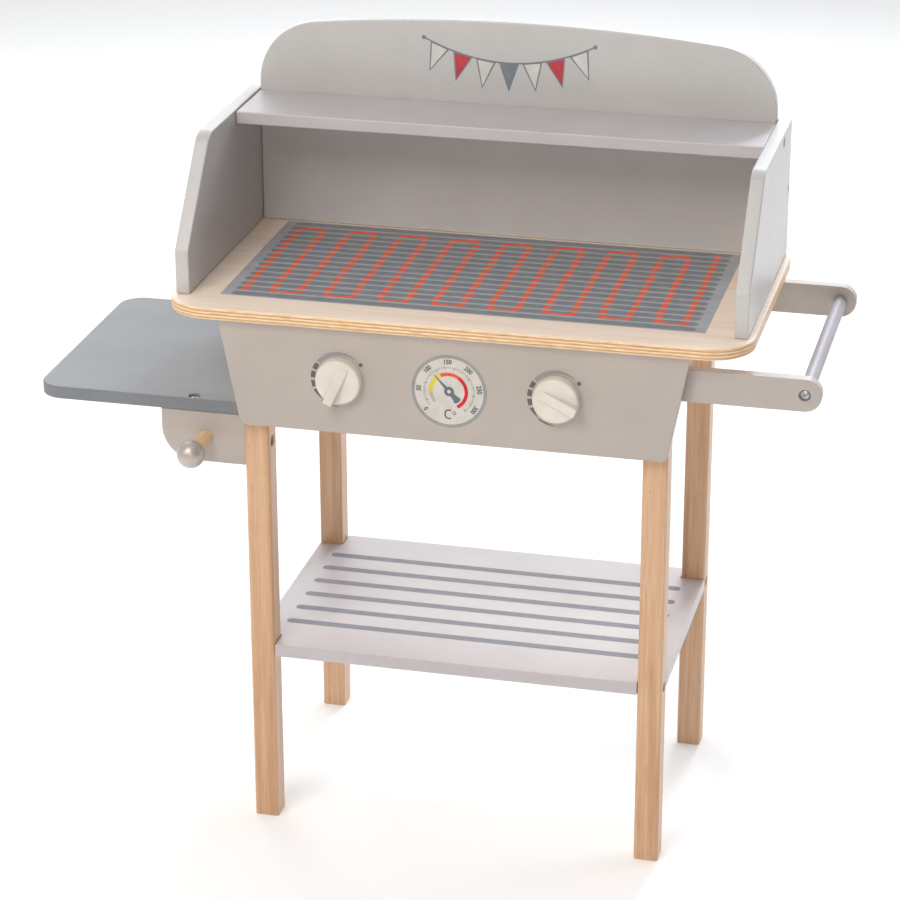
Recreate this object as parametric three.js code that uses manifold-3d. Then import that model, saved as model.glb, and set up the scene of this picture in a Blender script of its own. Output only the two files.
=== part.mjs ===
// Wooden toy barbecue grill: a striped shelf between four legs, a printed plywood top under an open hood,
// a side table with a tool peg on the left and a push handle on the right.
// Millimetres, +Z up, +X to the right of someone who stands at the front, +Y to the back.
// The sizes below are laid out from the front legs: X = 0 midway between the legs,
// Y = 0 on the front faces of the front legs, Z = 0 on the ground. The last lines move the
// whole assembly so that its origin is the middle of its footprint, on the ground.

import * as THREE from 'three';
import { mergeVertices } from 'three/addons/utils/BufferGeometryUtils.js';
import Module from 'manifold-3d';

// Boards and posts
const boardThickness = 12;
const shelfThickness = 13;
const boardEdgeRound = 1.2;
const fitGap = 0.3;
const cutOverrun = 3;

// Legs
const legSide = 25;
const legEdgeRound = 2.5;
const legEndRound = 1.5;
const legSpreadWidth = 426;
const legSpreadDepth = 284;

// Worktop
const worktopUnderside = 554;
const worktopSideOverhang = 77;
const worktopFrontOverhang = 20;
const worktopRearOverhang = 13;
const worktopFrontCornerRadius = 44;
const worktopRearCornerRadius = 38;

// Lower shelf
const lowerShelfTop = 199;

// Front and rear panels, wide at the worktop and narrow below
const panelFlare = 21;
const panelHeight = 110;
const panelCornerRadius = 5;
const panelScrewDrop = 65;

// Hood
const hoodSideMargin = 6;
const hoodSideThickness = 14;
const hoodFrontSetback = 33.5;
const hoodRearSetback = 22;
const hoodSideHeight = 142.5;
const hoodSideFrontHeight = 44.5;
const hoodSideLean = 79.5;
const hoodKneeRadius = 22;
const hoodToeRadius = 3;
const hoodBackHeight = 227;
const hoodBackSideGap = 1.6;
const hoodBackCornerRadius = 66;
const hoodBackCrownRadius = 1970;
const hoodShelfDrop = 1.7;
const hoodShelfDepth = 86;
const hoodBackScrewHeight = 73;
const hoodBaseScrewInset = 45;

// Side table on the left
const tableTop = 460;
const tableReach = 220;
const tableEndInset = 4;
const tableCornerRadius = 25;

// Brackets under the side table
const bracketReach = 89;
const bracketHeight = 54.5;
const bracketCornerRadius = 34;
const tableScrewShare = 0.62;

// Peg on the front bracket
const pegRadius = 7.5;
const pegReach = 46;
const pegFromLeg = 43.5;
const pegDrop = 28;
const pegSeatDepth = 8;
const ballRadius = 14;
const ballSeatDepth = 9;

// Handle on the right
const armLength = 144.5;
const armHeight = 32.5;
const armTopBelowWorktop = 18;
const barRadius = 7;

// Control knobs
const knobSpacing = 216;
const knobRowShift = -2.5;
const knobDrop = 54;
const knobRadius = 23.5;
const knobDiscThickness = 9;
const knobRimRound = 2;
const gripWidth = 11.5;
const gripHeight = 8.5;
const gripRound = 2;
const gripTailShare = 0.79;
const gripTailRadius = 3.5;
const knobTurns = { left: THREE.MathUtils.degToRad(24), right: THREE.MathUtils.degToRad(-69.5) };

// Screws, washers and dowels
const screwHeadRadius = 4.5;
const screwHeadHeight = 2.6;
const screwShankRadius = 2;
const screwTipLength = 4;
const screwCrownShare = 0.75;
const screwLength = 34;
const shortScrewLength = 26;
const counterboreRadius = 5.6;
const shallowSink = 1.5;
const legSink = 9;
const washerRadius = 7;
const washerThickness = 1.2;
const knobScrewBite = 6;
const dowelRadius = 4;
const dowelDepth = 18;
const dowelWorktopDepth = 8;

// Facets of round shapes
const cornerFacets = 4;
const legCornerFacets = 2;
const edgeFacets = 2;
const screwFacets = 12;
const dowelFacets = 16;
const knobFacets = 40;
const ballFacets = 24;

// Worked out from the sizes above
const halfSpread = legSpreadWidth / 2;
const worktopWidth = legSpreadWidth + worktopSideOverhang * 2;
const worktopTop = worktopUnderside + boardThickness;
const worktopFront = -worktopFrontOverhang;
const worktopRear = legSpreadDepth + worktopRearOverhang;
const panelTopHalf = halfSpread + panelFlare;
const panelBottom = worktopUnderside - panelHeight;
const hoodWidth = worktopWidth - hoodSideMargin * 2;
const hoodFront = worktopFront + hoodFrontSetback;
const hoodRear = worktopRear - hoodRearSetback;
const hoodBackFront = hoodRear - boardThickness;
const hoodInnerHalf = hoodWidth / 2 - hoodSideThickness;
const hoodShelfTop = worktopTop + hoodSideHeight - hoodShelfDrop;
const hoodShelfMiddle = hoodShelfTop - shelfThickness / 2;
const tableLeft = -halfSpread - tableReach;
const tableUnderside = tableTop - shelfThickness;
const bracketTop = tableUnderside - fitGap;
const bracketBottom = bracketTop - bracketHeight;
const bracketInset = (legSide - boardThickness) / 2;
const bracketFront = bracketInset;
const bracketRear = legSpreadDepth - bracketInset - boardThickness;
const pegX = -halfSpread - pegFromLeg;
const pegZ = bracketTop - pegDrop;
const armTop = worktopUnderside - armTopBelowWorktop;
const armMiddle = armTop - armHeight / 2;
const armEnd = halfSpread + armLength;
const barX = armEnd - armHeight / 2;
const armRearFront = legSpreadDepth - boardThickness;
const panelFront = -fitGap - boardThickness;
const knobZ = worktopUnderside - knobDrop;
const ballY = bracketFront - pegReach;

const unitX = new THREE.Vector3(1, 0, 0);
const unitY = new THREE.Vector3(0, 1, 0);
const unitZ = new THREE.Vector3(0, 0, 1);

const wasm = await Module();
wasm.setup();

// Closed solids for cutting and joining
function toSolid(geometry) {
  const bare = geometry.clone();
  bare.deleteAttribute('normal');
  bare.deleteAttribute('uv');
  const merged = mergeVertices(bare);
  return new wasm.Manifold(new wasm.Mesh({
    numProp: 3,
    vertProperties: new Float32Array(merged.attributes.position.array),
    triVerts: new Uint32Array(merged.index.array),
  }));
}

function toGeometry(solid) {
  const mesh = solid.getMesh();
  const geometry = new THREE.BufferGeometry();
  const positions = new Float32Array(mesh.vertProperties);
  geometry.setAttribute('position', new THREE.BufferAttribute(positions, mesh.numProp));
  geometry.setIndex(new THREE.BufferAttribute(new Uint32Array(mesh.triVerts), 1));
  const faceted = geometry.toNonIndexed();
  faceted.computeVertexNormals();
  return faceted;
}

// Takes tool shapes, given in the assembly's own coordinates, out of a mesh that is already in its place
function cutFrom(mesh, tools) {
  mesh.updateMatrix();
  const toMesh = mesh.matrix.clone().invert();
  let solid = toSolid(mesh.geometry);
  for (const tool of tools) {
    solid = solid.subtract(toSolid(tool.clone().applyMatrix4(toMesh)));
  }
  mesh.geometry = toGeometry(solid);
}

// An outline through corners, each given as [x, y, radius of its rounding]
function roundedOutline(corners) {
  const outline = new THREE.Shape();
  corners.forEach(([x, y, radius], index) => {
    const corner = new THREE.Vector2(x, y);
    const before = corners[(index + corners.length - 1) % corners.length];
    const after = corners[(index + 1) % corners.length];
    const toBefore = new THREE.Vector2(before[0], before[1]).sub(corner).normalize();
    const toAfter = new THREE.Vector2(after[0], after[1]).sub(corner).normalize();
    const halfAngle = Math.acos(THREE.MathUtils.clamp(toBefore.dot(toAfter), -1, 1)) / 2;
    const draw = index === 0 ? 'moveTo' : 'lineTo';
    if (radius === 0) {
      outline[draw](x, y);
      return;
    }
    const tangent = radius / Math.tan(halfAngle);
    const start = corner.clone().addScaledVector(toBefore, tangent);
    const end = corner.clone().addScaledVector(toAfter, tangent);
    const middle = toBefore.clone().add(toAfter).normalize();
    const centre = corner.clone().addScaledVector(middle, radius / Math.sin(halfAngle));
    outline[draw](start.x, start.y);
    outline.absarc(
      centre.x, centre.y, radius,
      start.clone().sub(centre).angle(), end.clone().sub(centre).angle(),
      toBefore.cross(toAfter) > 0,
    );
  });
  return outline;
}

function rectangle(x0, y0, x1, y1, radius = 0) {
  return roundedOutline([[x0, y0, radius], [x1, y0, radius], [x1, y1, radius], [x0, y1, radius]]);
}

// A board of the outline's shape whose long edges are slightly rounded
function slab(outline, thickness, round = boardEdgeRound, facets = cornerFacets) {
  const geometry = new THREE.ExtrudeGeometry(outline, {
    depth: thickness - round * 2,
    bevelEnabled: true,
    bevelThickness: round,
    bevelSize: round,
    bevelOffset: -round,
    bevelSegments: edgeFacets,
    curveSegments: facets,
    steps: 1,
  });
  geometry.translate(0, 0, round);
  return geometry;
}

// A body turned about the unit line +Y from a profile of [radius, height] points
function turned(profile, facets) {
  const points = profile.map(([radius, height]) => new THREE.Vector2(radius, height));
  return new THREE.LatheGeometry(points, facets);
}

function cylinderAlong(axis, start, radius, length, facets) {
  const geometry = turned([[0, 0], [radius, 0], [radius, length], [0, length]], facets);
  geometry.applyQuaternion(new THREE.Quaternion().setFromUnitVectors(unitY, axis));
  geometry.translate(start.x, start.y, start.z);
  return geometry;
}

// Finishes
function finish(color, roughness, metalness = 0) {
  return new THREE.MeshStandardMaterial({ color, roughness, metalness });
}

const finishes = {
  legWood: () => finish('#cfa884', 0.6),
  plywood: () => finish('#dfcbb6', 0.5),
  taupePaint: () => finish('#c0b4aa', 0.5),
  silverPaint: () => finish('#bdb9b7', 0.35, 0.25),
  paleSilverPaint: () => finish('#dad3d1', 0.35, 0.2),
  bluePaint: () => finish('#8f9599', 0.45),
  silverRod: () => finish('#b5b1ba', 0.35, 0.3),
  pegWood: () => finish('#c9a581', 0.6),
  creamPaint: () => finish('#e5dbd0', 0.4),
  zincSteel: () => finish('#9a9c9c', 0.35, 0.9),
  dowelWood: () => finish('#d8b98f', 0.7),
};

const assembly = new THREE.Group();
const standGroup = new THREE.Group();
const topGroup = new THREE.Group();
const hoodGroup = new THREE.Group();
const tableGroup = new THREE.Group();
const handleGroup = new THREE.Group();
const controlGroup = new THREE.Group();
assembly.add(standGroup, topGroup, hoodGroup, tableGroup, handleGroup, controlGroup);

function addPiece(group, name, geometry, material) {
  const mesh = new THREE.Mesh(geometry, material);
  mesh.name = name;
  group.add(mesh);
  return mesh;
}

// Boards by the way they face. A lying board's outline is in X and Y, a front-facing board's in X and Z,
// and a side-facing board's in Y and Z.
function lyingBoard(group, name, outline, thickness, bottom, material) {
  const mesh = addPiece(group, name, slab(outline, thickness), material);
  mesh.position.z = bottom;
  return mesh;
}

function frontFacingBoard(group, name, outline, thickness, front, material) {
  const mesh = addPiece(group, name, slab(outline, thickness), material);
  mesh.rotation.x = Math.PI / 2;
  mesh.position.y = front + thickness;
  return mesh;
}

function sideFacingBoard(group, name, outline, thickness, left, material) {
  const mesh = addPiece(group, name, slab(outline, thickness), material);
  mesh.quaternion.setFromRotationMatrix(new THREE.Matrix4().makeBasis(unitY, unitZ, unitX));
  mesh.position.x = left;
  return mesh;
}

// A pan head screw that points along +Y, with the top of its head at zero
function screwGeometry(length, tipLength) {
  return turned([
    [0, 0],
    [screwHeadRadius * screwCrownShare, 0],
    [screwHeadRadius, screwHeadHeight / 2],
    [screwHeadRadius, screwHeadHeight],
    [screwShankRadius, screwHeadHeight],
    [screwShankRadius, length - tipLength],
    [0, length],
  ], screwFacets);
}

// Adds a wood screw whose head lies below the surface by the sink, and returns its hole so that every board
// it passes through can be drilled with it
function addScrew(group, name, at, direction, sink, length) {
  const mesh = addPiece(group, name, screwGeometry(length, screwTipLength), finishes.zincSteel());
  mesh.quaternion.setFromUnitVectors(unitY, direction);
  mesh.position.copy(at).addScaledVector(direction, sink);
  const floor = sink + screwHeadHeight + fitGap;
  const hole = turned([
    [0, -cutOverrun],
    [counterboreRadius, -cutOverrun],
    [counterboreRadius, floor],
    [screwShankRadius + fitGap, floor],
    [screwShankRadius + fitGap, sink + length + fitGap],
    [0, sink + length + fitGap],
  ], screwFacets);
  hole.applyQuaternion(mesh.quaternion);
  hole.translate(at.x, at.y, at.z);
  return hole;
}

// Legs, lower shelf and the panels under the worktop
const legSides = [['left', -1], ['right', 1]];
const legRows = [['front', 0], ['rear', 1]];

function addLeg(name, x, y) {
  const outline = rectangle(0, 0, legSide, legSide, legEdgeRound);
  const post = slab(outline, worktopUnderside - fitGap, legEndRound, legCornerFacets);
  const mesh = addPiece(standGroup, name, post, finishes.legWood());
  mesh.position.set(x, y, 0);
  return mesh;
}

const legs = {};
for (const [side, sign] of legSides) {
  for (const [row, back] of legRows) {
    const x = sign < 0 ? -halfSpread : halfSpread - legSide;
    const y = back ? legSpreadDepth - legSide : 0;
    legs[`${row}_${side}`] = addLeg(`leg_${row}_${side}`, x, y);
  }
}

function shelfOutline() {
  const outer = halfSpread;
  const notch = halfSpread - legSide - fitGap;
  const frontNotch = legSide + fitGap;
  const rearNotch = legSpreadDepth - legSide - fitGap;
  return roundedOutline([
    [-notch, 0, 0], [notch, 0, 0], [notch, frontNotch, 0], [outer, frontNotch, 0],
    [outer, rearNotch, 0], [notch, rearNotch, 0], [notch, legSpreadDepth, 0], [-notch, legSpreadDepth, 0],
    [-notch, rearNotch, 0], [-outer, rearNotch, 0], [-outer, frontNotch, 0], [-notch, frontNotch, 0],
  ]);
}

const lowerShelf = lyingBoard(
  standGroup, 'lower_shelf', shelfOutline(), shelfThickness, lowerShelfTop - shelfThickness,
  finishes.paleSilverPaint(),
);

function panelOutline() {
  const top = worktopUnderside - fitGap;
  return roundedOutline([
    [-halfSpread, panelBottom, panelCornerRadius],
    [halfSpread, panelBottom, panelCornerRadius],
    [panelTopHalf, top, 0],
    [-panelTopHalf, top, 0],
  ]);
}

const frontPanel = frontFacingBoard(
  standGroup, 'front_panel', panelOutline(), boardThickness, panelFront, finishes.taupePaint(),
);
const rearPanel = frontFacingBoard(
  standGroup, 'rear_panel', panelOutline(), boardThickness, legSpreadDepth + fitGap, finishes.taupePaint(),
);

const legHoles = { front_left: [], front_right: [], rear_left: [], rear_right: [] };
const shelfHoles = [];
const panelHoles = { front: [], rear: [] };
const worktopHoles = [];

for (const [side, sign] of legSides) {
  for (const [row, back] of legRows) {
    const key = `${row}_${side}`;
    const legMiddleX = sign * (halfSpread - legSide / 2);
    const legMiddleY = back ? legSpreadDepth - legSide / 2 : legSide / 2;

    // A screw from the outer side of the leg into the edge of the shelf
    const shelfMiddle = lowerShelfTop - shelfThickness / 2;
    const shelfScrewAt = new THREE.Vector3(sign * halfSpread, legMiddleY, shelfMiddle);
    const inward = unitX.clone().multiplyScalar(-sign);
    const shelfHole = addScrew(
      standGroup, `shelf_screw_${key}`, shelfScrewAt, inward, legSink, screwLength,
    );
    legHoles[key].push(shelfHole);
    shelfHoles.push(shelfHole);

    // A screw from the inner side of the leg into the panel
    const panelScrewY = back ? legSpreadDepth - legSide : legSide;
    const panelScrewAt = new THREE.Vector3(legMiddleX, panelScrewY, worktopUnderside - panelScrewDrop);
    const outward = unitY.clone().multiplyScalar(back ? 1 : -1);
    const panelHole = addScrew(
      standGroup, `panel_screw_${key}`, panelScrewAt, outward, legSink, shortScrewLength,
    );
    legHoles[key].push(panelHole);
    panelHoles[row].push(panelHole);

    // A dowel between the end of the leg and the worktop
    const dowelBottom = new THREE.Vector3(legMiddleX, legMiddleY, worktopUnderside - dowelDepth);
    const dowel = addPiece(
      standGroup, `leg_dowel_${key}`,
      cylinderAlong(unitY, new THREE.Vector3(), dowelRadius, dowelDepth + dowelWorktopDepth, dowelFacets),
      finishes.dowelWood(),
    );
    dowel.rotation.x = Math.PI / 2;
    dowel.position.copy(dowelBottom);
    const dowelHole = cylinderAlong(
      unitZ, dowelBottom.clone().addScaledVector(unitZ, -fitGap),
      dowelRadius + fitGap, dowelDepth + dowelWorktopDepth + fitGap * 2, dowelFacets,
    );
    legHoles[key].push(dowelHole);
    worktopHoles.push(dowelHole);
  }
}

// Worktop
const worktop = lyingBoard(
  topGroup, 'worktop',
  roundedOutline([
    [-worktopWidth / 2, worktopFront, worktopFrontCornerRadius],
    [worktopWidth / 2, worktopFront, worktopFrontCornerRadius],
    [worktopWidth / 2, worktopRear, worktopRearCornerRadius],
    [-worktopWidth / 2, worktopRear, worktopRearCornerRadius],
  ]),
  boardThickness, worktopUnderside, finishes.plywood(),
);

// Hood: two side boards with a leaning front edge, an arched back and a shelf
function hoodSideOutline() {
  const top = worktopTop + hoodSideHeight;
  return roundedOutline([
    [hoodFront, worktopTop + fitGap, 0],
    [hoodRear, worktopTop + fitGap, 0],
    [hoodRear, top, 0],
    [hoodFront + hoodSideLean, top, hoodKneeRadius],
    [hoodFront, worktopTop + hoodSideFrontHeight, hoodToeRadius],
  ]);
}

const hoodSides = {};
for (const [side, sign] of legSides) {
  const left = sign < 0 ? -hoodWidth / 2 : hoodInnerHalf;
  hoodSides[side] = sideFacingBoard(
    hoodGroup, `hood_side_${side}`, hoodSideOutline(), hoodSideThickness, left, finishes.silverPaint(),
  );
}

function hoodBackOutline() {
  const half = hoodInnerHalf - hoodBackSideGap;
  const bottom = worktopTop + fitGap;
  const crownCentre = worktopTop + hoodBackHeight - hoodBackCrownRadius;
  const cornerX = half - hoodBackCornerRadius;
  const reach = hoodBackCrownRadius - hoodBackCornerRadius;
  const cornerZ = crownCentre + Math.sqrt(reach * reach - cornerX * cornerX);
  const meet = Math.atan2(cornerZ - crownCentre, cornerX);
  const outline = new THREE.Shape();
  outline.moveTo(-half, bottom);
  outline.lineTo(half, bottom);
  outline.absarc(cornerX, cornerZ, hoodBackCornerRadius, 0, meet, false);
  outline.absarc(0, crownCentre, hoodBackCrownRadius, meet, Math.PI - meet, false);
  outline.absarc(-cornerX, cornerZ, hoodBackCornerRadius, Math.PI - meet, Math.PI, false);
  return outline;
}

const hoodBack = frontFacingBoard(
  hoodGroup, 'hood_back', hoodBackOutline(), boardThickness, hoodBackFront, finishes.silverPaint(),
);
const hoodShelfFront = hoodBackFront - hoodShelfDepth;
const hoodShelf = lyingBoard(
  hoodGroup, 'hood_shelf',
  rectangle(-hoodInnerHalf + fitGap, hoodShelfFront, hoodInnerHalf - fitGap, hoodBackFront - fitGap),
  shelfThickness, hoodShelfTop - shelfThickness, finishes.paleSilverPaint(),
);

const hoodBackHoles = [];
const hoodShelfHoles = [];
for (const [side, sign] of legSides) {
  const sideHoles = [];
  const inward = unitX.clone().multiplyScalar(-sign);
  const outerFace = sign * hoodWidth / 2;

  const backMiddle = hoodRear - boardThickness / 2;
  const backScrewAt = new THREE.Vector3(outerFace, backMiddle, worktopTop + hoodBackScrewHeight);
  const backHole = addScrew(
    hoodGroup, `hood_back_screw_${side}`, backScrewAt, inward, shallowSink, screwLength,
  );
  sideHoles.push(backHole);
  hoodBackHoles.push(backHole);

  const shelfScrewAt = new THREE.Vector3(outerFace, hoodBackFront - hoodShelfDepth / 2, hoodShelfMiddle);
  const shelfHole = addScrew(
    hoodGroup, `hood_shelf_screw_${side}`, shelfScrewAt, inward, shallowSink, screwLength,
  );
  sideHoles.push(shelfHole);
  hoodShelfHoles.push(shelfHole);

  const sideMiddle = sign * (hoodWidth / 2 - hoodSideThickness / 2);
  const baseScrews = [['front', hoodFront + hoodBaseScrewInset], ['rear', hoodRear - hoodBaseScrewInset]];
  for (const [end, y] of baseScrews) {
    const at = new THREE.Vector3(sideMiddle, y, worktopUnderside);
    const hole = addScrew(
      hoodGroup, `hood_base_screw_${end}_${side}`, at, unitZ, shallowSink, screwLength,
    );
    sideHoles.push(hole);
    worktopHoles.push(hole);
  }
  cutFrom(hoodSides[side], sideHoles);
}
cutFrom(hoodBack, hoodBackHoles);
cutFrom(hoodShelf, hoodShelfHoles);
cutFrom(worktop, worktopHoles);

// Side table with its two brackets
const table = lyingBoard(
  tableGroup, 'side_table',
  roundedOutline([
    [tableLeft, tableEndInset, tableCornerRadius],
    [-halfSpread - fitGap, tableEndInset, 0],
    [-halfSpread - fitGap, legSpreadDepth - tableEndInset, 0],
    [tableLeft, legSpreadDepth - tableEndInset, tableCornerRadius],
  ]),
  shelfThickness, tableUnderside, finishes.bluePaint(),
);

function bracketOutline() {
  return roundedOutline([
    [-halfSpread - bracketReach, bracketBottom, bracketCornerRadius],
    [-halfSpread - fitGap, bracketBottom, 0],
    [-halfSpread - fitGap, bracketTop, 0],
    [-halfSpread - bracketReach, bracketTop, 0],
  ]);
}

const tableHoles = [];
const brackets = [['front', bracketFront], ['rear', bracketRear]];
for (const [row, front] of brackets) {
  const bracket = frontFacingBoard(
    tableGroup, `table_bracket_${row}`, bracketOutline(), boardThickness, front, finishes.taupePaint(),
  );
  const middleY = front + boardThickness / 2;
  const middleX = -halfSpread - bracketReach * tableScrewShare;

  const tableScrewAt = new THREE.Vector3(middleX, middleY, tableTop);
  const down = unitZ.clone().negate();
  const tableHole = addScrew(
    tableGroup, `table_screw_${row}`, tableScrewAt, down, shallowSink, shortScrewLength,
  );
  tableHoles.push(tableHole);

  const legScrewAt = new THREE.Vector3(-halfSpread + legSide, middleY, bracketBottom + bracketHeight / 2);
  const left = unitX.clone().negate();
  const legHole = addScrew(tableGroup, `bracket_screw_${row}`, legScrewAt, left, legSink, screwLength);
  legHoles[`${row}_left`].push(legHole);

  const bracketHoles = [tableHole, legHole];
  if (row === 'front') {
    const pegSeat = new THREE.Vector3(pegX, bracketFront + pegSeatDepth, pegZ);
    bracketHoles.push(cylinderAlong(
      unitY.clone().negate(), pegSeat, pegRadius + fitGap, pegSeatDepth + cutOverrun, dowelFacets,
    ));
  }
  cutFrom(bracket, bracketHoles);
}
cutFrom(table, tableHoles);

// Peg with a ball on its end
const pegStart = bracketFront + pegSeatDepth - fitGap;
const pegEnd = ballY + ballRadius - ballSeatDepth + fitGap;
const peg = addPiece(
  tableGroup, 'tool_peg',
  cylinderAlong(unitY, new THREE.Vector3(), pegRadius, pegStart - pegEnd, dowelFacets),
  finishes.pegWood(),
);
peg.position.set(pegX, pegEnd, pegZ);

const sphere = new THREE.SphereGeometry(ballRadius, ballFacets, ballFacets / 2);
const ball = addPiece(tableGroup, 'peg_ball', sphere, finishes.silverRod());
ball.position.set(pegX, ballY, pegZ);
const ballSeat = new THREE.Vector3(pegX, pegEnd - fitGap, pegZ);
cutFrom(ball, [
  cylinderAlong(unitY, ballSeat, pegRadius + fitGap, ballSeatDepth + cutOverrun, dowelFacets),
]);

// Handle: two arms on the right legs and a bar between their ends
function armOutline() {
  const bottom = armTop - armHeight;
  const outline = new THREE.Shape();
  outline.moveTo(halfSpread + fitGap, armTop);
  outline.lineTo(halfSpread + fitGap, bottom);
  outline.lineTo(barX, bottom);
  outline.absarc(barX, armMiddle, armHeight / 2, -Math.PI / 2, Math.PI / 2, false);
  return outline;
}

const arms = [['front', 0, 1], ['rear', armRearFront, -1]];
const barHoles = [];
for (const [row, front, inwardSign] of arms) {
  const arm = frontFacingBoard(
    handleGroup, `handle_arm_${row}`, armOutline(), boardThickness, front, finishes.taupePaint(),
  );
  const middleY = front + boardThickness / 2;
  const legScrewAt = new THREE.Vector3(halfSpread - legSide, middleY, armMiddle);
  const legHole = addScrew(handleGroup, `arm_screw_${row}`, legScrewAt, unitX, legSink, screwLength);
  legHoles[`${row}_right`].push(legHole);

  const outerY = inwardSign > 0 ? front : front + boardThickness;
  const inward = unitY.clone().multiplyScalar(inwardSign);
  const barScrewAt = new THREE.Vector3(barX, outerY, armMiddle);
  const barHole = addScrew(
    handleGroup, `handle_screw_${row}`, barScrewAt, inward, shallowSink, screwLength,
  );
  barHoles.push(barHole);
  cutFrom(arm, [legHole, barHole]);
}

const barStart = boardThickness + fitGap;
const barEnd = armRearFront - fitGap;
const bar = addPiece(
  handleGroup, 'handle_bar',
  cylinderAlong(unitY, new THREE.Vector3(), barRadius, barEnd - barStart, ballFacets), finishes.silverRod(),
);
bar.position.set(barX, barStart, armMiddle);
cutFrom(bar, barHoles);

// Control knobs, each on a screw that comes through the front panel from behind
function knobGeometry() {
  const rimCut = knobRimRound * (1 - Math.SQRT1_2);
  const disc = turned([
    [0, -knobDiscThickness],
    [knobRadius - knobRimRound, -knobDiscThickness],
    [knobRadius - rimCut, -knobDiscThickness + rimCut],
    [knobRadius, -knobDiscThickness + knobRimRound],
    [knobRadius, 0],
    [0, 0],
  ], knobFacets);
  const gripTip = -knobRadius - gripRound;
  const gripTail = knobRadius * gripTailShare;
  const gripOutline = roundedOutline([
    [-gripWidth / 2, gripTip, 0],
    [gripWidth / 2, gripTip, 0],
    [gripWidth / 2, gripTail, gripTailRadius],
    [-gripWidth / 2, gripTail, gripTailRadius],
  ]);
  const grip = slab(gripOutline, knobDiscThickness + gripHeight - knobRimRound, gripRound);
  grip.rotateX(Math.PI / 2);
  grip.translate(0, -knobRimRound, 0);
  const rim = cylinderAlong(
    unitY.clone().negate(), new THREE.Vector3(0, cutOverrun, 0), knobRadius,
    knobDiscThickness + gripHeight + cutOverrun * 2, knobFacets,
  );
  return toGeometry(toSolid(disc).add(toSolid(grip).intersect(toSolid(rim))));
}

const knobScrewHead = screwHeadHeight + washerThickness + fitGap * 2;
const knobScrewLength = knobScrewHead + boardThickness + fitGap + knobScrewBite;
for (const [side, sign] of legSides) {
  const x = knobRowShift + sign * knobSpacing / 2;
  const knob = addPiece(controlGroup, `knob_${side}`, knobGeometry(), finishes.creamPaint());
  knob.position.set(x, panelFront - fitGap, knobZ);
  knob.rotation.y = knobTurns[side];

  const panelBack = panelFront + boardThickness;
  const screw = addPiece(
    controlGroup, `knob_screw_${side}`, screwGeometry(knobScrewLength, 0), finishes.zincSteel(),
  );
  screw.quaternion.setFromUnitVectors(unitY, unitY.clone().negate());
  screw.position.set(x, panelBack + knobScrewHead, knobZ);

  const washer = addPiece(controlGroup, `knob_washer_${side}`, turned([
    [screwShankRadius + fitGap, 0],
    [washerRadius, 0],
    [washerRadius, washerThickness],
    [screwShankRadius + fitGap, washerThickness],
    [screwShankRadius + fitGap, 0],
  ], dowelFacets), finishes.zincSteel());
  washer.position.set(x, panelBack + fitGap, knobZ);

  const shaftHole = cylinderAlong(
    unitY, new THREE.Vector3(x, panelFront - fitGap - knobScrewBite - fitGap, knobZ),
    screwShankRadius + fitGap, boardThickness + knobScrewBite + cutOverrun, screwFacets,
  );
  panelHoles.front.push(shaftHole);
  cutFrom(knob, [shaftHole]);
}

cutFrom(frontPanel, panelHoles.front);
cutFrom(rearPanel, panelHoles.rear);
cutFrom(lowerShelf, shelfHoles);
for (const key of Object.keys(legs)) {
  cutFrom(legs[key], legHoles[key]);
}

// The origin: the middle of the whole footprint, on the ground
assembly.position.set(
  -(tableLeft + armEnd) / 2,
  -(ballY - ballRadius + worktopRear) / 2,
  0,
);

const group = new THREE.Group();
group.add(assembly);

export default group;
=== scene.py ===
"""Toy barbecue grill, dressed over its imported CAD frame.

A child's play grill of beech, birch plywood and lacquered board. Each sub-assembly is a
class: its sizes, in millimetres, are dataclass fields, and its methods build the meshes
and dress them. Whatever the CAD already says, such as where a board starts and ends, is
read from the frame, so the sizes here are only those of details: radii, prints and screws.
"""

import logging
import math
from collections.abc import Callable, Iterator, Sequence
from contextlib import contextmanager
from dataclasses import dataclass, field
from enum import Enum

import bmesh
import bpy
from mathutils import Matrix, Vector


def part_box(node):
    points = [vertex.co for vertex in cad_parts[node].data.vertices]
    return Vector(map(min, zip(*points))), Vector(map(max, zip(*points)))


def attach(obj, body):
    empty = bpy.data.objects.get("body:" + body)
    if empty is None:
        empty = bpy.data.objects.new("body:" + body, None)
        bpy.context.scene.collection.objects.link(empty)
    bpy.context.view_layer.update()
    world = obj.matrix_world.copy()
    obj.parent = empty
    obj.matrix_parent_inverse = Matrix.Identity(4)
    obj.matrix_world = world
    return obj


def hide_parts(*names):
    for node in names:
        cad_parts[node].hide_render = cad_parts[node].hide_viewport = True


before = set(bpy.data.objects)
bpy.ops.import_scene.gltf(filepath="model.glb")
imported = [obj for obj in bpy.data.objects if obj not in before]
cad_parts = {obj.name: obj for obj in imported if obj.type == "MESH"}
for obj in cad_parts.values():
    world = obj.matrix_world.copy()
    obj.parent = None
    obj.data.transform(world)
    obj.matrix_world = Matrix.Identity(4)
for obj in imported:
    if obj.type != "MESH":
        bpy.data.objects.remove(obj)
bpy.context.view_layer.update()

log = logging.getLogger("toy_grill")

MM = 0.001  # one millimetre in Blender's metres
ALIKE = 0.99  # two unit vectors with a larger dot product point the same way
WELD = 1e-6  # points nearer than this are one point
BODY = "grill"  # the body that everything but the knobs rides on

Piece = bpy.types.Object
Material = bpy.types.Material
Node = bpy.types.Node
Socket = bpy.types.NodeSocket
Inputs = dict[str | int, object]
Point = tuple[float, float]
Outline = Sequence[Point]
Station = tuple[float, float, float]  # an angle in degrees, an inner and an outer radius
Test = Callable[[object], bool]


class Axis(Enum):
    """The three directions of the shared frame."""

    X = 0
    Y = 1
    Z = 2

    def vector(self, sign: float = 1.0) -> Vector:
        """Gives the unit vector along this axis."""
        return Vector([sign if i == self.value else 0.0 for i in range(3)])


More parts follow.
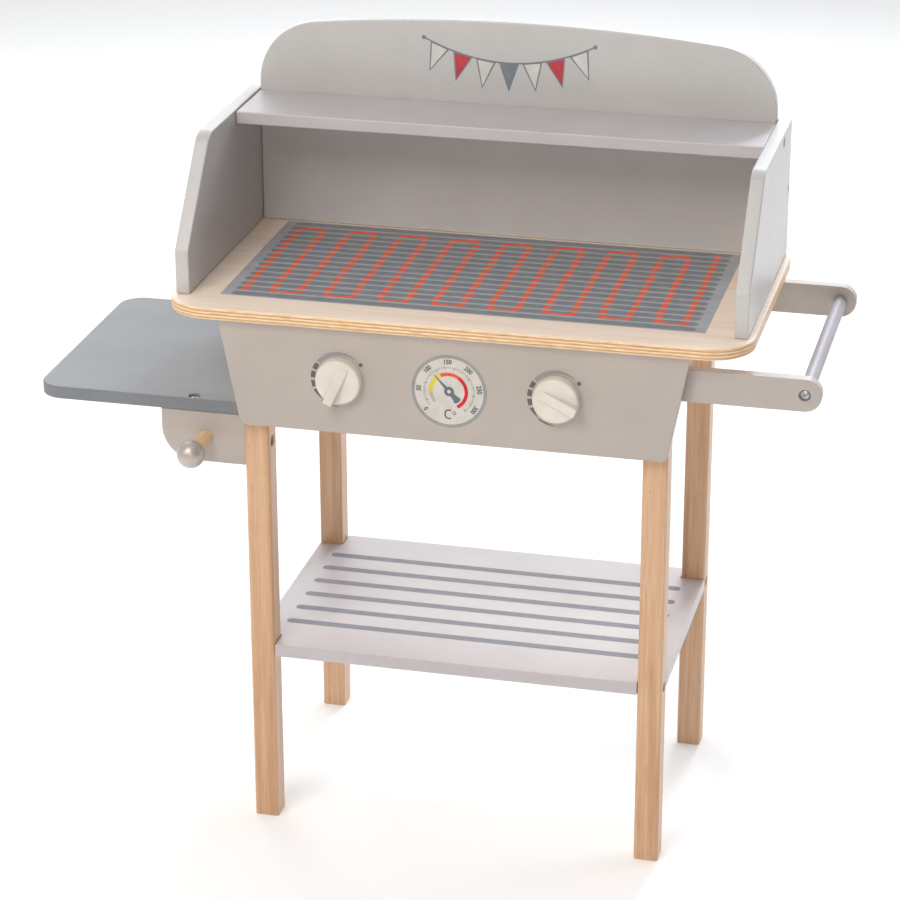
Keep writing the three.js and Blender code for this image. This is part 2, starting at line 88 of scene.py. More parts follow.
class Side(Enum):
    """Left or right as the photograph shows them."""

    LEFT = "left"
    RIGHT = "right"


class Depth(Enum):
    """Front or rear of the stand."""

    FRONT = "front"
    REAR = "rear"


# Modelling: small steps of Blender's own tools


def leave_selection() -> None:
    bpy.ops.object.select_all(action="DESELECT")


def hold(piece: Piece) -> None:
    """Makes one object the only selected and the active one.

    Args:
        piece: the object.
    """
    leave_selection()
    piece.select_set(True)
    bpy.context.view_layer.objects.active = piece


@contextmanager
def editing(piece: Piece) -> Iterator[None]:
    """Opens a piece in edit mode with nothing selected, and closes it again.

    Args:
        piece: the piece to edit.
    """
    hold(piece)
    bpy.ops.object.mode_set(mode="EDIT")
    bpy.ops.mesh.select_mode(type="VERT")
    bpy.ops.mesh.select_all(action="DESELECT")
    yield
    bpy.ops.object.mode_set(mode="OBJECT")


def pick(piece: Piece, kind: str, test: Test) -> int:
    """Selects, in edit mode, only what passes a test.

    Args:
        piece: the object in edit mode.
        kind: "verts", "edges" or "faces".
        test: says of one vertex, edge or face whether it is wanted.

    Returns:
        How many were selected.
    """
    bpy.ops.mesh.select_all(action="DESELECT")
    bpy.ops.mesh.select_mode(type=kind[:-1].upper())
    mesh = bmesh.from_edit_mesh(piece.data)
    wanted = [part for part in getattr(mesh, kind) if test(part)]
    for part in wanted:
        part.select_set(True)
    bmesh.update_edit_mesh(piece.data)
    return len(wanted)


def settle(piece: Piece) -> None:
    """Puts the object's place into its mesh, so that the object sits at the origin."""
    hold(piece)
    bpy.ops.object.transform_apply(location=True, rotation=True, scale=True)


def place(piece: Piece, matrix: Matrix) -> Piece:
    """Moves a piece made at the origin to its place, and settles it there.

    Args:
        piece: the piece.
        matrix: its place.

    Returns:
        The same object.
    """
    piece.matrix_world = matrix
    settle(piece)
    return piece


def named(piece: Piece, name: str) -> Piece:
    """Gives an object and its mesh the piece's name.

    Args:
        piece: the object.
        name: its new name.

    Returns:
        The same object.
    """
    piece.name = name
    piece.data.name = name
    return piece


def aimed(spot: Vector, direction: Vector) -> Matrix:
    """Gives the place at a spot, in metres, that turns +Z to a direction."""
    return Matrix.Translation(spot) @ direction.to_track_quat("Z", "Y").to_matrix().to_4x4()


def block(name: str, low: Vector, high: Vector) -> Piece:
    """Adds a rectangular block between two corners.

    Args:
        name: the piece's name.
        low: its lowest corner, in metres.
        high: its highest corner, in metres.

    Returns:
        The new object.
    """
    leave_selection()
    bpy.ops.mesh.primitive_cube_add(size=1.0, location=(low + high) / 2, scale=high - low)
    piece = named(bpy.context.object, name)
    settle(piece)
    return piece


def rod(name: str, start: Vector, end: Vector, radius: float, sides: int) -> Piece:
    """Adds a round rod from one point to another.

    Args:
        name: the piece's name.
        start: the centre of its first end, in metres.
        end: the centre of its last end, in metres.
        radius: its radius, in millimetres.
        sides: how many faces go round it.

    Returns:
        The new object.
    """
    leave_selection()
    run = end - start
    bpy.ops.mesh.primitive_cylinder_add(vertices=sides, radius=radius * MM, depth=run.length)
    return place(named(bpy.context.object, name), aimed((start + end) / 2, run))


def use_modifier(piece: Piece, kind: str, **settings: object) -> None:
    """Adds a modifier, gives it its settings and applies it.

    Args:
        piece: the object to finish.
        kind: Blender's name of the modifier.
        **settings: the modifier's values.
    """
    hold(piece)
    modifier = piece.modifiers.new(kind.title(), kind)
    for name, value in settings.items():
        setattr(modifier, name, value)
    bpy.ops.object.modifier_apply(modifier=modifier.name)


def round_corners(
    piece: Piece, along: Axis, test: Test, radius: float, segments: int
) -> None:
    """Rounds a board's outline where its edges run straight through the thickness.

    Args:
        piece: the board.
        along: the direction through the board's thickness.
        test: says of such an edge's middle whether it is rounded.
        radius: the distance from the old corner to the start of the curve, in millimetres.
        segments: how many faces make the curve.
    """

    def through(edge: object) -> bool:
        """Says whether an edge runs through the thickness and passes the test.

        Args:
            edge: one of the board's edges.

        Returns:
            Whether it is rounded.
        """
        start, end = (vertex.co for vertex in edge.verts)
        run = (end - start).normalized()
        return abs(run.dot(along.vector())) > ALIKE and test((start + end) / 2)

    with editing(piece):
        if pick(piece, "edges", through):
            bpy.ops.mesh.bevel(
                offset=radius * MM, offset_type="OFFSET", segments=segments, affect="EDGES"
            )


def plane_off(piece: Piece, point: Vector, outward: Vector) -> None:
    """Saws off what lies outside a plane and closes the cut.

    Args:
        piece: the piece to saw.
        point: a point on the plane, in metres.
        outward: the direction that points to the waste.
    """
    with editing(piece):
        bpy.ops.mesh.select_all(action="SELECT")
        bpy.ops.mesh.bisect(
            plane_co=point, plane_no=outward, use_fill=True, clear_outer=True, threshold=WELD
        )


def plane_round(
    piece: Piece, centre: Vector, radius: float, first: float, last: float, cuts: int
) -> None:
    """Planes a board's top to an arc, one tangent cut after another, in the XZ plane.

    The cuts lie between the two directions given, so none falls on a face that is there.

    Args:
        piece: the board, thick along Y.
        centre: the arc's centre, in metres.
        radius: the arc's radius, in millimetres.
        first: where the arc starts, in degrees from +X towards +Z.
        last: where it ends.
        cuts: how many cuts make the arc.
    """
    for number in range(cuts):
        angle = math.radians(first + (last - first) * (number + 0.5) / cuts)
        outward = Vector((math.cos(angle), 0.0, math.sin(angle)))
        plane_off(piece, centre + outward * radius * MM, outward)


def ease(piece: Piece, width: float, segments: int = 3, angle: float = 30) -> None:
    """Takes the sharpness off every edge of a piece, as sanding does.

    Args:
        piece: the piece to ease.
        width: the width of the eased edge, in millimetres.
        segments: how many faces make it round.
        angle: the least angle, in degrees, of an edge that is eased.
    """
    use_modifier(
        piece,
        "BEVEL",
        width=width * MM,
        segments=segments,
        limit_method="ANGLE",
        angle_limit=math.radians(angle),
    )


def join_solids(piece: Piece, tool: Piece, operation: str) -> None:
    """Cuts or joins two solids, and uses up the second.

    Args:
        piece: the solid that stays.
        tool: the solid that goes.
        operation: "DIFFERENCE" or "UNION".
    """
    use_modifier(piece, "BOOLEAN", operation=operation, solver="EXACT", object=tool)
    bpy.data.meshes.remove(tool.data)


def bore(piece: Piece, start: Vector, end: Vector, radius: float, sides: int) -> None:
    """Drills a round hole from one point to another.

    Args:
        piece: the piece to drill.
        start: where the drill starts, in metres.
        end: where it stops.
        radius: the drill's radius, in millimetres.
        sides: how many faces go round the hole.
    """
    join_solids(piece, rod("drill", start, end, radius, sides), "DIFFERENCE")


def smooth(piece: Piece, angle: float = 35, weighted: bool = True) -> None:
    """Shades round parts round and keeps flat faces flat.

    Args:
        piece: the piece to shade.
        angle: edges sharper than this, in degrees, stay sharp.
        weighted: whether large faces pull the shading flat.
    """
    hold(piece)
    bpy.ops.object.shade_smooth_by_angle(angle=math.radians(angle))
    if weighted:
        use_modifier(piece, "WEIGHTED_NORMAL", keep_sharp=True, weight=80)


def clean(piece: Piece) -> None:
    """Merges doubled vertices and points every face outwards.

    Args:
        piece: the piece to clean.
    """
    with editing(piece):
        bpy.ops.mesh.select_all(action="SELECT")
        bpy.ops.mesh.remove_doubles(threshold=WELD)
        bpy.ops.mesh.select_all(action="SELECT")
        bpy.ops.mesh.normals_make_consistent(inside=False)


def copy_of(piece: Piece, name: str) -> Piece:
    """Copies an object with a mesh of its own.

    Args:
        piece: the object to copy.
        name: the copy's name.

    Returns:
        The copy.
    """
    twin = bpy.data.objects.new(name, piece.data.copy())
    bpy.context.collection.objects.link(twin)
    return named(twin, name)


# Prints: thin films of ink, cut from flat curves


def flat_to_mesh(piece: Piece, name: str, lift: float, thickness: float) -> Piece:
    """Turns a flat curve or a text into a clean mesh and lifts it on to its surface.

    Args:
        piece: the curve or text.
        name: the mesh's name.
        lift: how far its underside lies above the plane, in millimetres.
        thickness: its thickness, in millimetres.

    Returns:
        The mesh object.
    """
    hold(piece)
    bpy.ops.object.convert(target="MESH")
    piece = named(bpy.context.object, name)
    place(piece, Matrix.Translation((0, 0, (lift + thickness / 2) * MM)))
    clean(piece)
    return piece


def film(name: str, outlines: Sequence[Outline], lift: float, thickness: float) -> Piece:
    """Makes a thin flat film of ink that lies in the XY plane and faces +Z.

    Args:
        name: the piece's name.
        outlines: closed outlines in millimetres; one inside another is a hole.
        lift: how far the film's underside lies above the plane, in millimetres.
        thickness: the film's thickness, in millimetres.

    Returns:
        The new object, at the origin.
    """
    leave_selection()
    curve = bpy.data.curves.new(name, "CURVE")
    curve.dimensions = "2D"
    curve.fill_mode = "BOTH"
    curve.extrude = thickness / 2 * MM
    for outline in outlines:
        spline = curve.splines.new("POLY")
        spline.points.add(len(outline) - 1)
        for spot, (x, y) in zip(spline.points, outline):
            spot.co = (x * MM, y * MM, 0.0, 1.0)
        spline.use_cyclic_u = True
    piece = bpy.data.objects.new(name, curve)
    bpy.context.collection.objects.link(piece)
    return flat_to_mesh(piece, name, lift, thickness)


def on_circle(radius: float, angle: float, centre: Point = (0.0, 0.0)) -> Point:
    """Gives the point of a circle at an angle in degrees from +X."""
    turn = math.radians(angle)
    return centre[0] + radius * math.cos(turn), centre[1] + radius * math.sin(turn)


def circle(radius: float, centre: Point = (0.0, 0.0), steps: int = 96) -> list[Point]:
    """Gives a closed circle."""
    return [on_circle(radius, 360 * step / steps, centre) for step in range(steps)]


def rectangle(half_width: float, low: float, high: float) -> list[Point]:
    """Gives a rectangle that is centred across and runs from one height to another."""
    return [(-half_width, low), (half_width, low), (half_width, high), (-half_width, high)]


def arc_band(stations: Sequence[Station], step: float = 2.0) -> list[Point]:
    """Gives a band round a centre whose edges may narrow or widen along it.

    Args:
        stations: its edges at points along the band, with radii in millimetres.
        step: the spacing of the outline's points, in degrees.

    Returns:
        The closed outline.
    """
    inner: list[Point] = []
    outer: list[Point] = []
    for (a0, i0, o0), (a1, i1, o1) in zip(stations, stations[1:]):
        count = max(1, math.ceil(abs(a1 - a0) / step))
        for number in range(1 if inner else 0, count + 1):
            share = number / count
            angle = a0 + (a1 - a0) * share
            inner.append(on_circle(i0 + (i1 - i0) * share, angle))
            outer.append(on_circle(o0 + (o1 - o0) * share, angle))
    return outer + inner[::-1]


def stadium(length: float, width: float, centre: Point, steps: int = 10) -> list[Point]:
    """Gives a bar with round ends, lying along X.

    Args:
        length: its whole length, in millimetres.
        width: its width, in millimetres.
        centre: its middle.
        steps: how many points make each round end.

    Returns:
        The closed outline.
    """
    half = (length - width) / 2
    ends = []
    for sign, start in ((1, -90.0), (-1, 90.0)):
        middle = (centre[0] + sign * half, centre[1])
        ends += [on_circle(width / 2, start + 180 * s / steps, middle) for s in range(steps + 1)]
    return ends


def ribbon(path: Outline, width: float) -> list[Point]:
    """Gives the outline of an open line drawn with a broad pen.

    Args:
        path: the middle of the line.
        width: its width, in millimetres.

    Returns:
        The closed outline.
    """
    left: list[Point] = []
    right: list[Point] = []
    for number, (x, y) in enumerate(path):
        before = path[max(0, number - 1)]
        after = path[min(len(path) - 1, number + 1)]
        half = width / 2 / math.dist(before, after)
        across = ((before[1] - after[1]) * half, (after[0] - before[0]) * half)
        left.append((x + across[0], y + across[1]))
        right.append((x - across[0], y - across[1]))
    return left + right[::-1]


def facing_front(spot: Vector) -> Matrix:
    """Gives the place of a print that stands upright and faces the viewer, from metres."""
    return Matrix.Translation(spot) @ Matrix.Rotation(math.pi / 2, 4, "X")


# Finishes


def linear(code: str) -> tuple[float, ...]:
    """Turns an sRGB hex code into the linear colour that shaders use.

    Args:
        code: a code such as "#C0B4AA".

    Returns:
        Red, green, blue and alpha.
    """
    parts = [int(code[i : i + 2], 16) / 255 for i in (1, 3, 5)]
    return (*(p / 12.92 if p <= 0.04045 else ((p + 0.055) / 1.055) ** 2.4 for p in parts), 1.0)


COVER = {"data_type": "RGBA", "blend_type": "MIX"}  # one colour hides another
STAIN = {"data_type": "RGBA", "blend_type": "MULTIPLY"}  # one colour darkens another


def add_node(
    owner: Material | bpy.types.World,
    kind: str,
    inputs: Inputs | None = None,
    stops: Sequence[tuple[float, str]] = (),
    **settings: object,
) -> Node:
    """Adds one shader node with its settings, values and links.

    Args:
        owner: the material or world that gets the node.
        kind: Blender's name of the node.
        inputs: a value, or another node's output, for each named or numbered input.
        stops: a colour ramp's stops, each a place from 0 to 1 and an sRGB hex code.
        **settings: the node's own settings.

    Returns:
        The new node.
    """
    tree = owner.node_tree
    node = tree.nodes.new(kind)
    for name, value in settings.items():
        setattr(node, name, value)
    for socket, value in (inputs or {}).items():
        if isinstance(value, Socket):
            tree.links.new(value, node.inputs[socket])
        else:
            node.inputs[socket].default_value = value
    if stops:
        elements = node.color_ramp.elements
        elements.remove(elements[-1])
        elements[0].position = stops[0][0]
        for number, (spot, code) in enumerate(stops):
            stop = elements.new(spot) if number else elements[0]
            stop.color = linear(code)
    return node


@dataclass(frozen=True)
class Finish:
    """A surface finish: its name, the record's slot for it, and what feeds its shader."""

    name: str
    slot: str = ""

    def material(self) -> Material:
        """Gives the finish's material, which is made the first time it is asked for.

        Returns:
            The material.
        """
        known = bpy.data.materials.get(self.name)
        if known is not None:
            return known
        made = bpy.data.materials.new(self.name)
        made.use_nodes = True
        made.node_tree.nodes.clear()
        surface = add_node(made, "ShaderNodeBsdfPrincipled", self.surface(made))
        add_node(made, "ShaderNodeOutputMaterial", {"Surface": surface.outputs["BSDF"]})
        return made

    def surface(self, made: Material) -> Inputs:
        """Gives the shader's inputs. Each kind of finish has its own."""
        raise NotImplementedError

    def pattern(self, made: Material, size: Sequence[float], detail: float) -> Socket:
        """Gives a cloudy pattern, from 0 to 1, that stays fixed to the piece.

        Args:
            made: the material.
            size: how long its features are along X, Y and Z, in millimetres.
            detail: how many finer layers it has.

        Returns:
            The pattern's output.
        """
        where = add_node(made, "ShaderNodeTexCoord").outputs["Object"]
        scale = tuple(1 / (length * MM) for length in size)
        spot = add_node(made, "ShaderNodeMapping", {"Vector": where, "Scale": scale})
        inputs = {"Vector": spot.outputs["Vector"], "Scale": 1.0, "Detail": detail}
        return add_node(made, "ShaderNodeTexNoise", inputs).outputs["Fac"]


@dataclass(frozen=True)
class SolidBeech(Finish):
    """Steamed beech, planed, sanded and clear lacquered.

    The eye gets a warm straw colour, broad soft growth bands and fine darker pore lines
    that run along the piece, and the short brown flecks that mark beech.
    """

    grain: Axis = Axis.Z
    light: str = "#DAB491"
    dark: str = "#C99C75"
    fleck: str = "#AB7A51"

    def along(self, across: float, run: float) -> list[float]:
        """Gives the size of a feature this many mm wide and this many mm along the grain."""
        return [run if axis is self.grain else across for axis in Axis]

    def surface(self, made: Material) -> Inputs:
        """Mixes growth bands, pore lines and flecks.

        Args:
            made: the material.

        Returns:
            The shader's inputs.
        """
        bands = self.pattern(made, self.along(9, 260), 2.5)
        pores = self.pattern(made, self.along(0.8, 38), 3.0)  # really 0.1 mm, drawn wider
        flecks = self.pattern(made, self.along(1.1, 4.5), 1.0)
        stops = [(0.32, self.dark), (0.52, self.light), (0.72, self.dark)]
        body = add_node(made, "ShaderNodeValToRGB", {"Fac": bands}, stops).outputs["Color"]
        stops = [(0.30, "#E3D2C2"), (0.56, "#FFFFFF")]
        lines = add_node(made, "ShaderNodeValToRGB", {"Fac": pores}, stops).outputs["Color"]
        streaked = add_node(made, "ShaderNodeMix", {0: 0.55, 6: body, 7: lines}, **STAIN)
        sparse = add_node(  # only the peaks of the pattern are flecks
            made, "ShaderNodeMapRange", {"Value": flecks, 1: 0.70, 2: 0.76, 3: 0.0, 4: 0.75}
        ).outputs["Result"]
        flecked = {0: sparse, 6: streaked.outputs[2], 7: linear(self.fleck)}
        relief = {"Height": pores, "Strength": 0.12, "Distance": 0.2 * MM}
        return {
            "Base Color": add_node(made, "ShaderNodeMix", flecked, **COVER).outputs[2],
            "Normal": add_node(made, "ShaderNodeBump", relief).outputs["Normal"],
            "Roughness": 0.46,
            "IOR": 1.5,
            "Coat Weight": 0.45,
            "Coat Roughness": 0.35,
        }


@dataclass(frozen=True)
class BirchPlywood(Finish):
    """Seven-ply birch board with a clear matt lacquer.

    The eye gets a pale cream face with a faint long figure, and an edge of straw and
    brown stripes where the plies are cut across and along the grain in turn.
    """

    node: str = "worktop"  # the board whose thickness the plies fill
    face: str = "#FFECDA"
    face_dark: str = "#F8E0CA"
    ply_light: str = "#FADDB6"
    ply_dark: str = "#D4AA7C"
    joint_shares: tuple[float, ...] = (0.12, 0.25, 0.40, 0.53, 0.68, 0.81)
    blur_share: float = 0.03

    def plies(self) -> list[tuple[float, str]]:
        """Gives the colours of the edge from the underside up.

        Returns:
            The ramp's stops.
        """
        stops = [(0.0, self.ply_light)]
        tones = (self.ply_light, self.ply_dark)
        for number, joint in enumerate(self.joint_shares):
            stops.append((joint, tones[number % 2]))
            stops.append((joint + self.blur_share, tones[(number + 1) % 2]))
        return [*stops, (1.0, self.ply_light)]

    def surface(self, made: Material) -> Inputs:
        """Mixes the face veneer with the striped edge by which way the surface looks.

        Args:
            made: the material.

        Returns:
            The shader's inputs.
        """
        figure = self.pattern(made, (166.7, 7.14, 7.14), 4.0)
        stops = [(0.30, self.face_dark), (0.55, self.face), (0.80, self.face)]
        veneer = add_node(made, "ShaderNodeValToRGB", {"Fac": figure}, stops).outputs["Color"]
        low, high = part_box(self.node)
        where = add_node(made, "ShaderNodeTexCoord").outputs
        height, facing = (
            add_node(made, "ShaderNodeSeparateXYZ", {"Vector": where[name]}).outputs["Z"]
            for name in ("Object", "Normal")
        )
        share = add_node(made, "ShaderNodeMapRange", {"Value": height, 1: low.z, 2: high.z})
        inputs = {"Fac": share.outputs["Result"]}
        edge = add_node(made, "ShaderNodeValToRGB", inputs, self.plies()).outputs["Color"]
        fibres = self.pattern(made, (14.29, 14.29, 0.909), 3.0)
        stops = [(0.35, "#E0CBB2"), (0.6, "#FFFFFF")]
        mottle = add_node(made, "ShaderNodeValToRGB", {"Fac": fibres}, stops).outputs["Color"]
        sawn = add_node(made, "ShaderNodeMix", {0: 0.85, 6: edge, 7: mottle}, **STAIN)
        upright = add_node(made, "ShaderNodeMath", {0: facing}, operation="ABSOLUTE")
        flat = add_node(  # the rounded arris turns from edge to face between these slopes
            made, "ShaderNodeMapRange", {"Value": upright.outputs["Value"], 1: 0.72, 2: 0.86}
        ).outputs["Result"]
        faced = {0: flat, 6: sawn.outputs[2], 7: veneer}
        relief = {"Height": figure, "Strength": 0.05, "Distance": 0.2 * MM}
        return {
            "Base Color": add_node(made, "ShaderNodeMix", faced, **COVER).outputs[2],
            "Normal": add_node(made, "ShaderNodeBump", relief).outputs["Normal"],
            "Roughness": 0.45,
            "IOR": 1.5,
            "Coat Weight": 0.5,
            "Coat Roughness": 0.4,
        }


@dataclass(frozen=True)
class SprayedPaint(Finish):
    """Water-based enamel sprayed on fibreboard and baked.

    The eye gets one even colour with a soft sheen, barely cloudy over a hand's width, and
    the fine orange peel of a sprayed coat, which breaks up the highlights.
    """

    colour: str = "#C0B4AA"
    cloud: str = "#BAAEA4"
    roughness: float = 0.42
    metallic: float = 0.0
    flake: float = 0.0  # how much the metal flakes of a silver coat sparkle
    coat: float = 0.6  # the clear lacquer over it
    specular: float = 0.5

    def surface(self, made: Material) -> Inputs:
        """Adds the clouding, the orange peel and, in a silver coat, the flakes.

        Args:
            made: the material.

        Returns:
            The shader's inputs.
        """
        clouds = self.pattern(made, (71.4,) * 3, 3.0)
        stops = [(0.35, self.cloud), (0.65, self.colour)]
        colour = add_node(made, "ShaderNodeValToRGB", {"Fac": clouds}, stops).outputs["Color"]
        if self.flake > 0:
            grains = self.pattern(made, (0.714,) * 3, 2.0)  # really 0.03 mm, drawn wider
            stops = [(0.35, "#B4B4B4"), (0.65, "#FFFFFF")]
            specks = add_node(made, "ShaderNodeValToRGB", {"Fac": grains}, stops)
            flaked = {0: self.flake, 6: colour, 7: specks.outputs["Color"]}
            colour = add_node(made, "ShaderNodeMix", flaked, **STAIN).outputs[2]
        peel = self.pattern(made, (2.0,) * 3, 2.0)
        relief = {"Height": peel, "Strength": 0.08, "Distance": 0.3 * MM}
        resin = {} if self.metallic else {"IOR": 1.48}  # a metal coat keeps the shader's own
        return {
            "Base Color": colour,
            "Normal": add_node(made, "ShaderNodeBump", relief).outputs["Normal"],
            "Roughness": self.roughness,
            "Metallic": self.metallic,
            "Specular IOR Level": self.specular,
            "Coat Weight": self.coat,
            "Coat Roughness": 0.35,
            **resin,
        }


@dataclass(frozen=True)
class MouldedPlastic(Finish):
    """ABS, injection moulded in a lightly polished mould.

    The eye gets a smooth warm cream with a broad soft highlight and a faint flow mark.
    """

    colour: str = "#DFD8CF"
    shade: str = "#D9D1C7"

    def surface(self, made: Material) -> Inputs:
        """Adds faint flow marks and a fine spark-eroded grain.

        Args:
            made: the material.

        Returns:
            The shader's inputs.
        """
        flow = self.pattern(made, (15.15,) * 3, 2.0)
        stops = [(0.35, self.shade), (0.65, self.colour)]
        cream = add_node(made, "ShaderNodeValToRGB", {"Fac": flow}, stops)
        grain = self.pattern(made, (0.4,) * 3, 1.0)
        relief = {"Height": grain, "Strength": 0.04, "Distance": 0.1 * MM}
        return {
            "Base Color": cream.outputs["Color"],
            "Normal": add_node(made, "ShaderNodeBump", relief).outputs["Normal"],
            "Roughness": 0.38,
            "IOR": 1.53,
            "Coat Weight": 0.35,
            "Coat Roughness": 0.3,
            "Subsurface Weight": 0.05,
            "Subsurface Scale": 2 * MM,
        }


@dataclass(frozen=True)
class ZincPlatedSteel(Finish):
    """Cold-headed steel with a clear zinc coat.

    The eye gets a cool grey metal with soft highlights and a faint mottled bloom.
    """

    def surface(self, made: Material) -> Inputs:
        """Adds the bloom, 2 mm across, to the colour and the gloss.

        Args:
            made: the material.

        Returns:
            The shader's inputs.
        """
        bloom = self.pattern(made, (2.083,) * 3, 3.0)
        stops = [(0.3, "#AAAEB0"), (0.7, "#CED2D2")]
        colour = add_node(made, "ShaderNodeValToRGB", {"Fac": bloom}, stops)
        gloss = add_node(
            made, "ShaderNodeMapRange", {"Value": bloom, 1: 0.3, 2: 0.7, 3: 0.42, 4: 0.28}
        )
        return {
            "Base Color": colour.outputs["Color"],
            "Roughness": gloss.outputs["Result"],
            "Metallic": 1.0,
        }


@dataclass(frozen=True)
class ScreenInk(Finish):
    """Screen-printed ink, one even coat on wood or paint.

    The eye gets a flat matt colour whose coverage varies a little, as pulled ink does.
    """

    colour: str = "#6A717B"

    def surface(self, made: Material) -> Inputs:
        """Adds the uneven coverage, 12 mm across.

        Args:
            made: the material.

        Returns:
            The shader's inputs.
        """
        cover = self.pattern(made, (12.5,) * 3, 4.0)
        stops = [(0.3, "#EDEDED"), (0.7, "#FFFFFF")]
        film_tone = add_node(made, "ShaderNodeValToRGB", {"Fac": cover}, stops)
        inked = {0: 1.0, 6: film_tone.outputs["Color"], 7: linear(self.colour)}
        return {
            "Base Color": add_node(made, "ShaderNodeMix", inked, **STAIN).outputs[2],
            "Roughness": 0.55,
            "IOR": 1.48,
        }


@dataclass(frozen=True)
class StudioPaper(Finish):
    """Seamless white background paper, for the floor only, lit a little from below."""

    def surface(self, made: Material) -> Inputs:
        """Sets a matt white with a faint glow.

        Args:
            made: the material.

        Returns:
            The shader's inputs.
        """
        return {
            "Base Color": linear("#EDEDED"),
            "Emission Color": linear("#FFFFFF"),
            "Emission Strength": 0.22,
            "Roughness": 0.9,
        }


LEG_BEECH = SolidBeech("clear lacquered beech upright grain", "leg_wood")
PEG_BEECH = SolidBeech(
    "turned beech grain front to back", "peg_wood", Axis.Y, "#F4D2A6", "#E8C294"
)
DOWEL_BEECH = SolidBeech("fluted beech dowel", "dowel_wood", Axis.Z, "#DDBF99", "#CDA67C")
BIRCH_PLY = BirchPlywood("clear lacquered birch plywood", "plywood")
# One silver-grey paint covers every board. The three copies of it below are painted light and
# shade, each toned to how lit its boards look: darker and warmer on the panels, brackets and arms
# (painted shade), lighter on the hood (painted light), and pinker on the shelves for the sheen of
# their tops.
GREY_PAINT_SHADED_TONE = SprayedPaint(
    "grey paint darker as painted shade", "taupe_paint", "#B7AEA7", "#B2A9A2", flake=0.1
)
GREY_PAINT_LIT_TONE = SprayedPaint(
    "grey paint lighter as painted light", "silver_paint", "#CCCBCA", "#C7C6C5", flake=0.25
)
GREY_PAINT_SHEEN_TONE = SprayedPaint(
    "grey paint pinker as painted sheen", "pale_silver_paint", "#C6C1C5", "#C1BBBF", flake=0.12
)
BLUE_GREY = SprayedPaint(
    "blue-grey enamel on fibreboard",
    "blue_grey_paint",
    "#82868B",
    "#7C8085",
    coat=0.0,
    specular=0.25,
)
TURNED_SILVER = SprayedPaint(
    "silver lacquer on the turned ball",
    "silver_turned_wood",
    "#C8BFB9",
    "#BFB6B0",
    roughness=0.4,
    metallic=0.5,
    flake=0.2,
    coat=0.3,
)
BAR_SILVER = SprayedPaint(
    "silver lacquer on the turned bar",
    "silver_turned_wood",
    "#B2ADB5",
    "#A9A4AC",
    roughness=0.5,
    metallic=0.15,
    flake=0.15,
    coat=0.2,
    specular=0.4,
)
CREAM_ABS = MouldedPlastic("cream moulded abs", "cream_plastic")
ZINC = ZincPlatedSteel("zinc plated steel", "zinc_steel")
SLOT_INK = ScreenInk("slate ink of the grate slots", "plywood", "#8B9198")
BAR_INK = ScreenInk("light slate ink of the grate bars", "plywood", "#B4B7BC")
COIL_INK = ScreenInk("glowing red ink of the heating coil", "plywood", "#FF6A40")
STRIPE_INK = ScreenInk("blue-grey ink of the shelf stripes", "blue_grey_paint", "#878993")
SCALE_INK = ScreenInk("dark warm grey ink of the knob scales", "taupe_paint", "#6A6360")
SOFT_SCALE_INK = ScreenInk("mid grey ink of the knob scales", "taupe_paint", "#9B9798")
DIAL_RIM_INK = ScreenInk("grey ink of the gauge rim", "taupe_paint", "#9C9B9B")
DIAL_FACE_INK = ScreenInk("off-white ink of the gauge face", "taupe_paint", "#D5D1CC")
DIAL_TEXT_INK = ScreenInk("dark grey ink of the gauge numbers", "taupe_paint", "#595A5A")
NEEDLE_INK = ScreenInk("slate ink of the gauge needle", "taupe_paint", "#66717A")
WARM_INK = ScreenInk("stone ink of the gauge scale", "taupe_paint", "#B9B2AC")
YELLOW_INK = ScreenInk("yellow ink of the gauge scale", "taupe_paint", "#E8D200")
ORANGE_INK = ScreenInk("orange ink of the gauge scale", "taupe_paint", "#E65A28")
RED_INK = ScreenInk("red ink of the gauge scale", "taupe_paint", "#D6141C")
FLAG_WHITE_INK = ScreenInk("off-white ink of the pennants", "silver_paint", "#DAD8D5")
FLAG_SLATE_INK = ScreenInk("slate ink of the pennants", "silver_paint", "#7E868F")
FLAG_RED_INK = ScreenInk("red ink of the pennants", "silver_paint", "#C8404A")


def coat(piece: Piece, finish: Finish) -> None:
    """Gives a piece its finish as its only material."""
    piece.data.materials.clear()
    piece.data.materials.append(finish.material())


def dress(piece: Piece, finish: Finish, node: str = "", body: str = BODY) -> Piece:
    """Finishes a piece: its material, its body and the solid it stands for.

    Args:
        piece: the finished mesh.
        finish: what its surface is made of.
        node: the CAD node that it replaces, if there is one.
        body: the body that it rides on.

    Returns:
        The same object.
    """
    coat(piece, finish)
    if node:
        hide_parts(node)
    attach(piece, body)
    log.info("%-34s %6d faces  %s", piece.name, len(piece.data.polygons), finish.name)
    return piece


@dataclass
class Print:
    """Something printed: thin films of ink, one colour on another."""

    ink: float = 0.1

    def layers(
        self,
        name: str,
        here: Matrix,
        layers: Sequence[tuple[str, Sequence[Outline], int, ScreenInk]],
    ) -> None:
        """Prints one colour after another.

        Args:
            name: the print's name, which each layer's name starts with.
            here: the print's place.
            layers: each layer's own name, its outlines, how many lie under it, and its ink.
        """
        for part, outlines, level, ink in layers:
            layer = film(f"{name}_{part}", outlines, level * self.ink, self.ink)
            dress(place(layer, here), ink)


# Screws


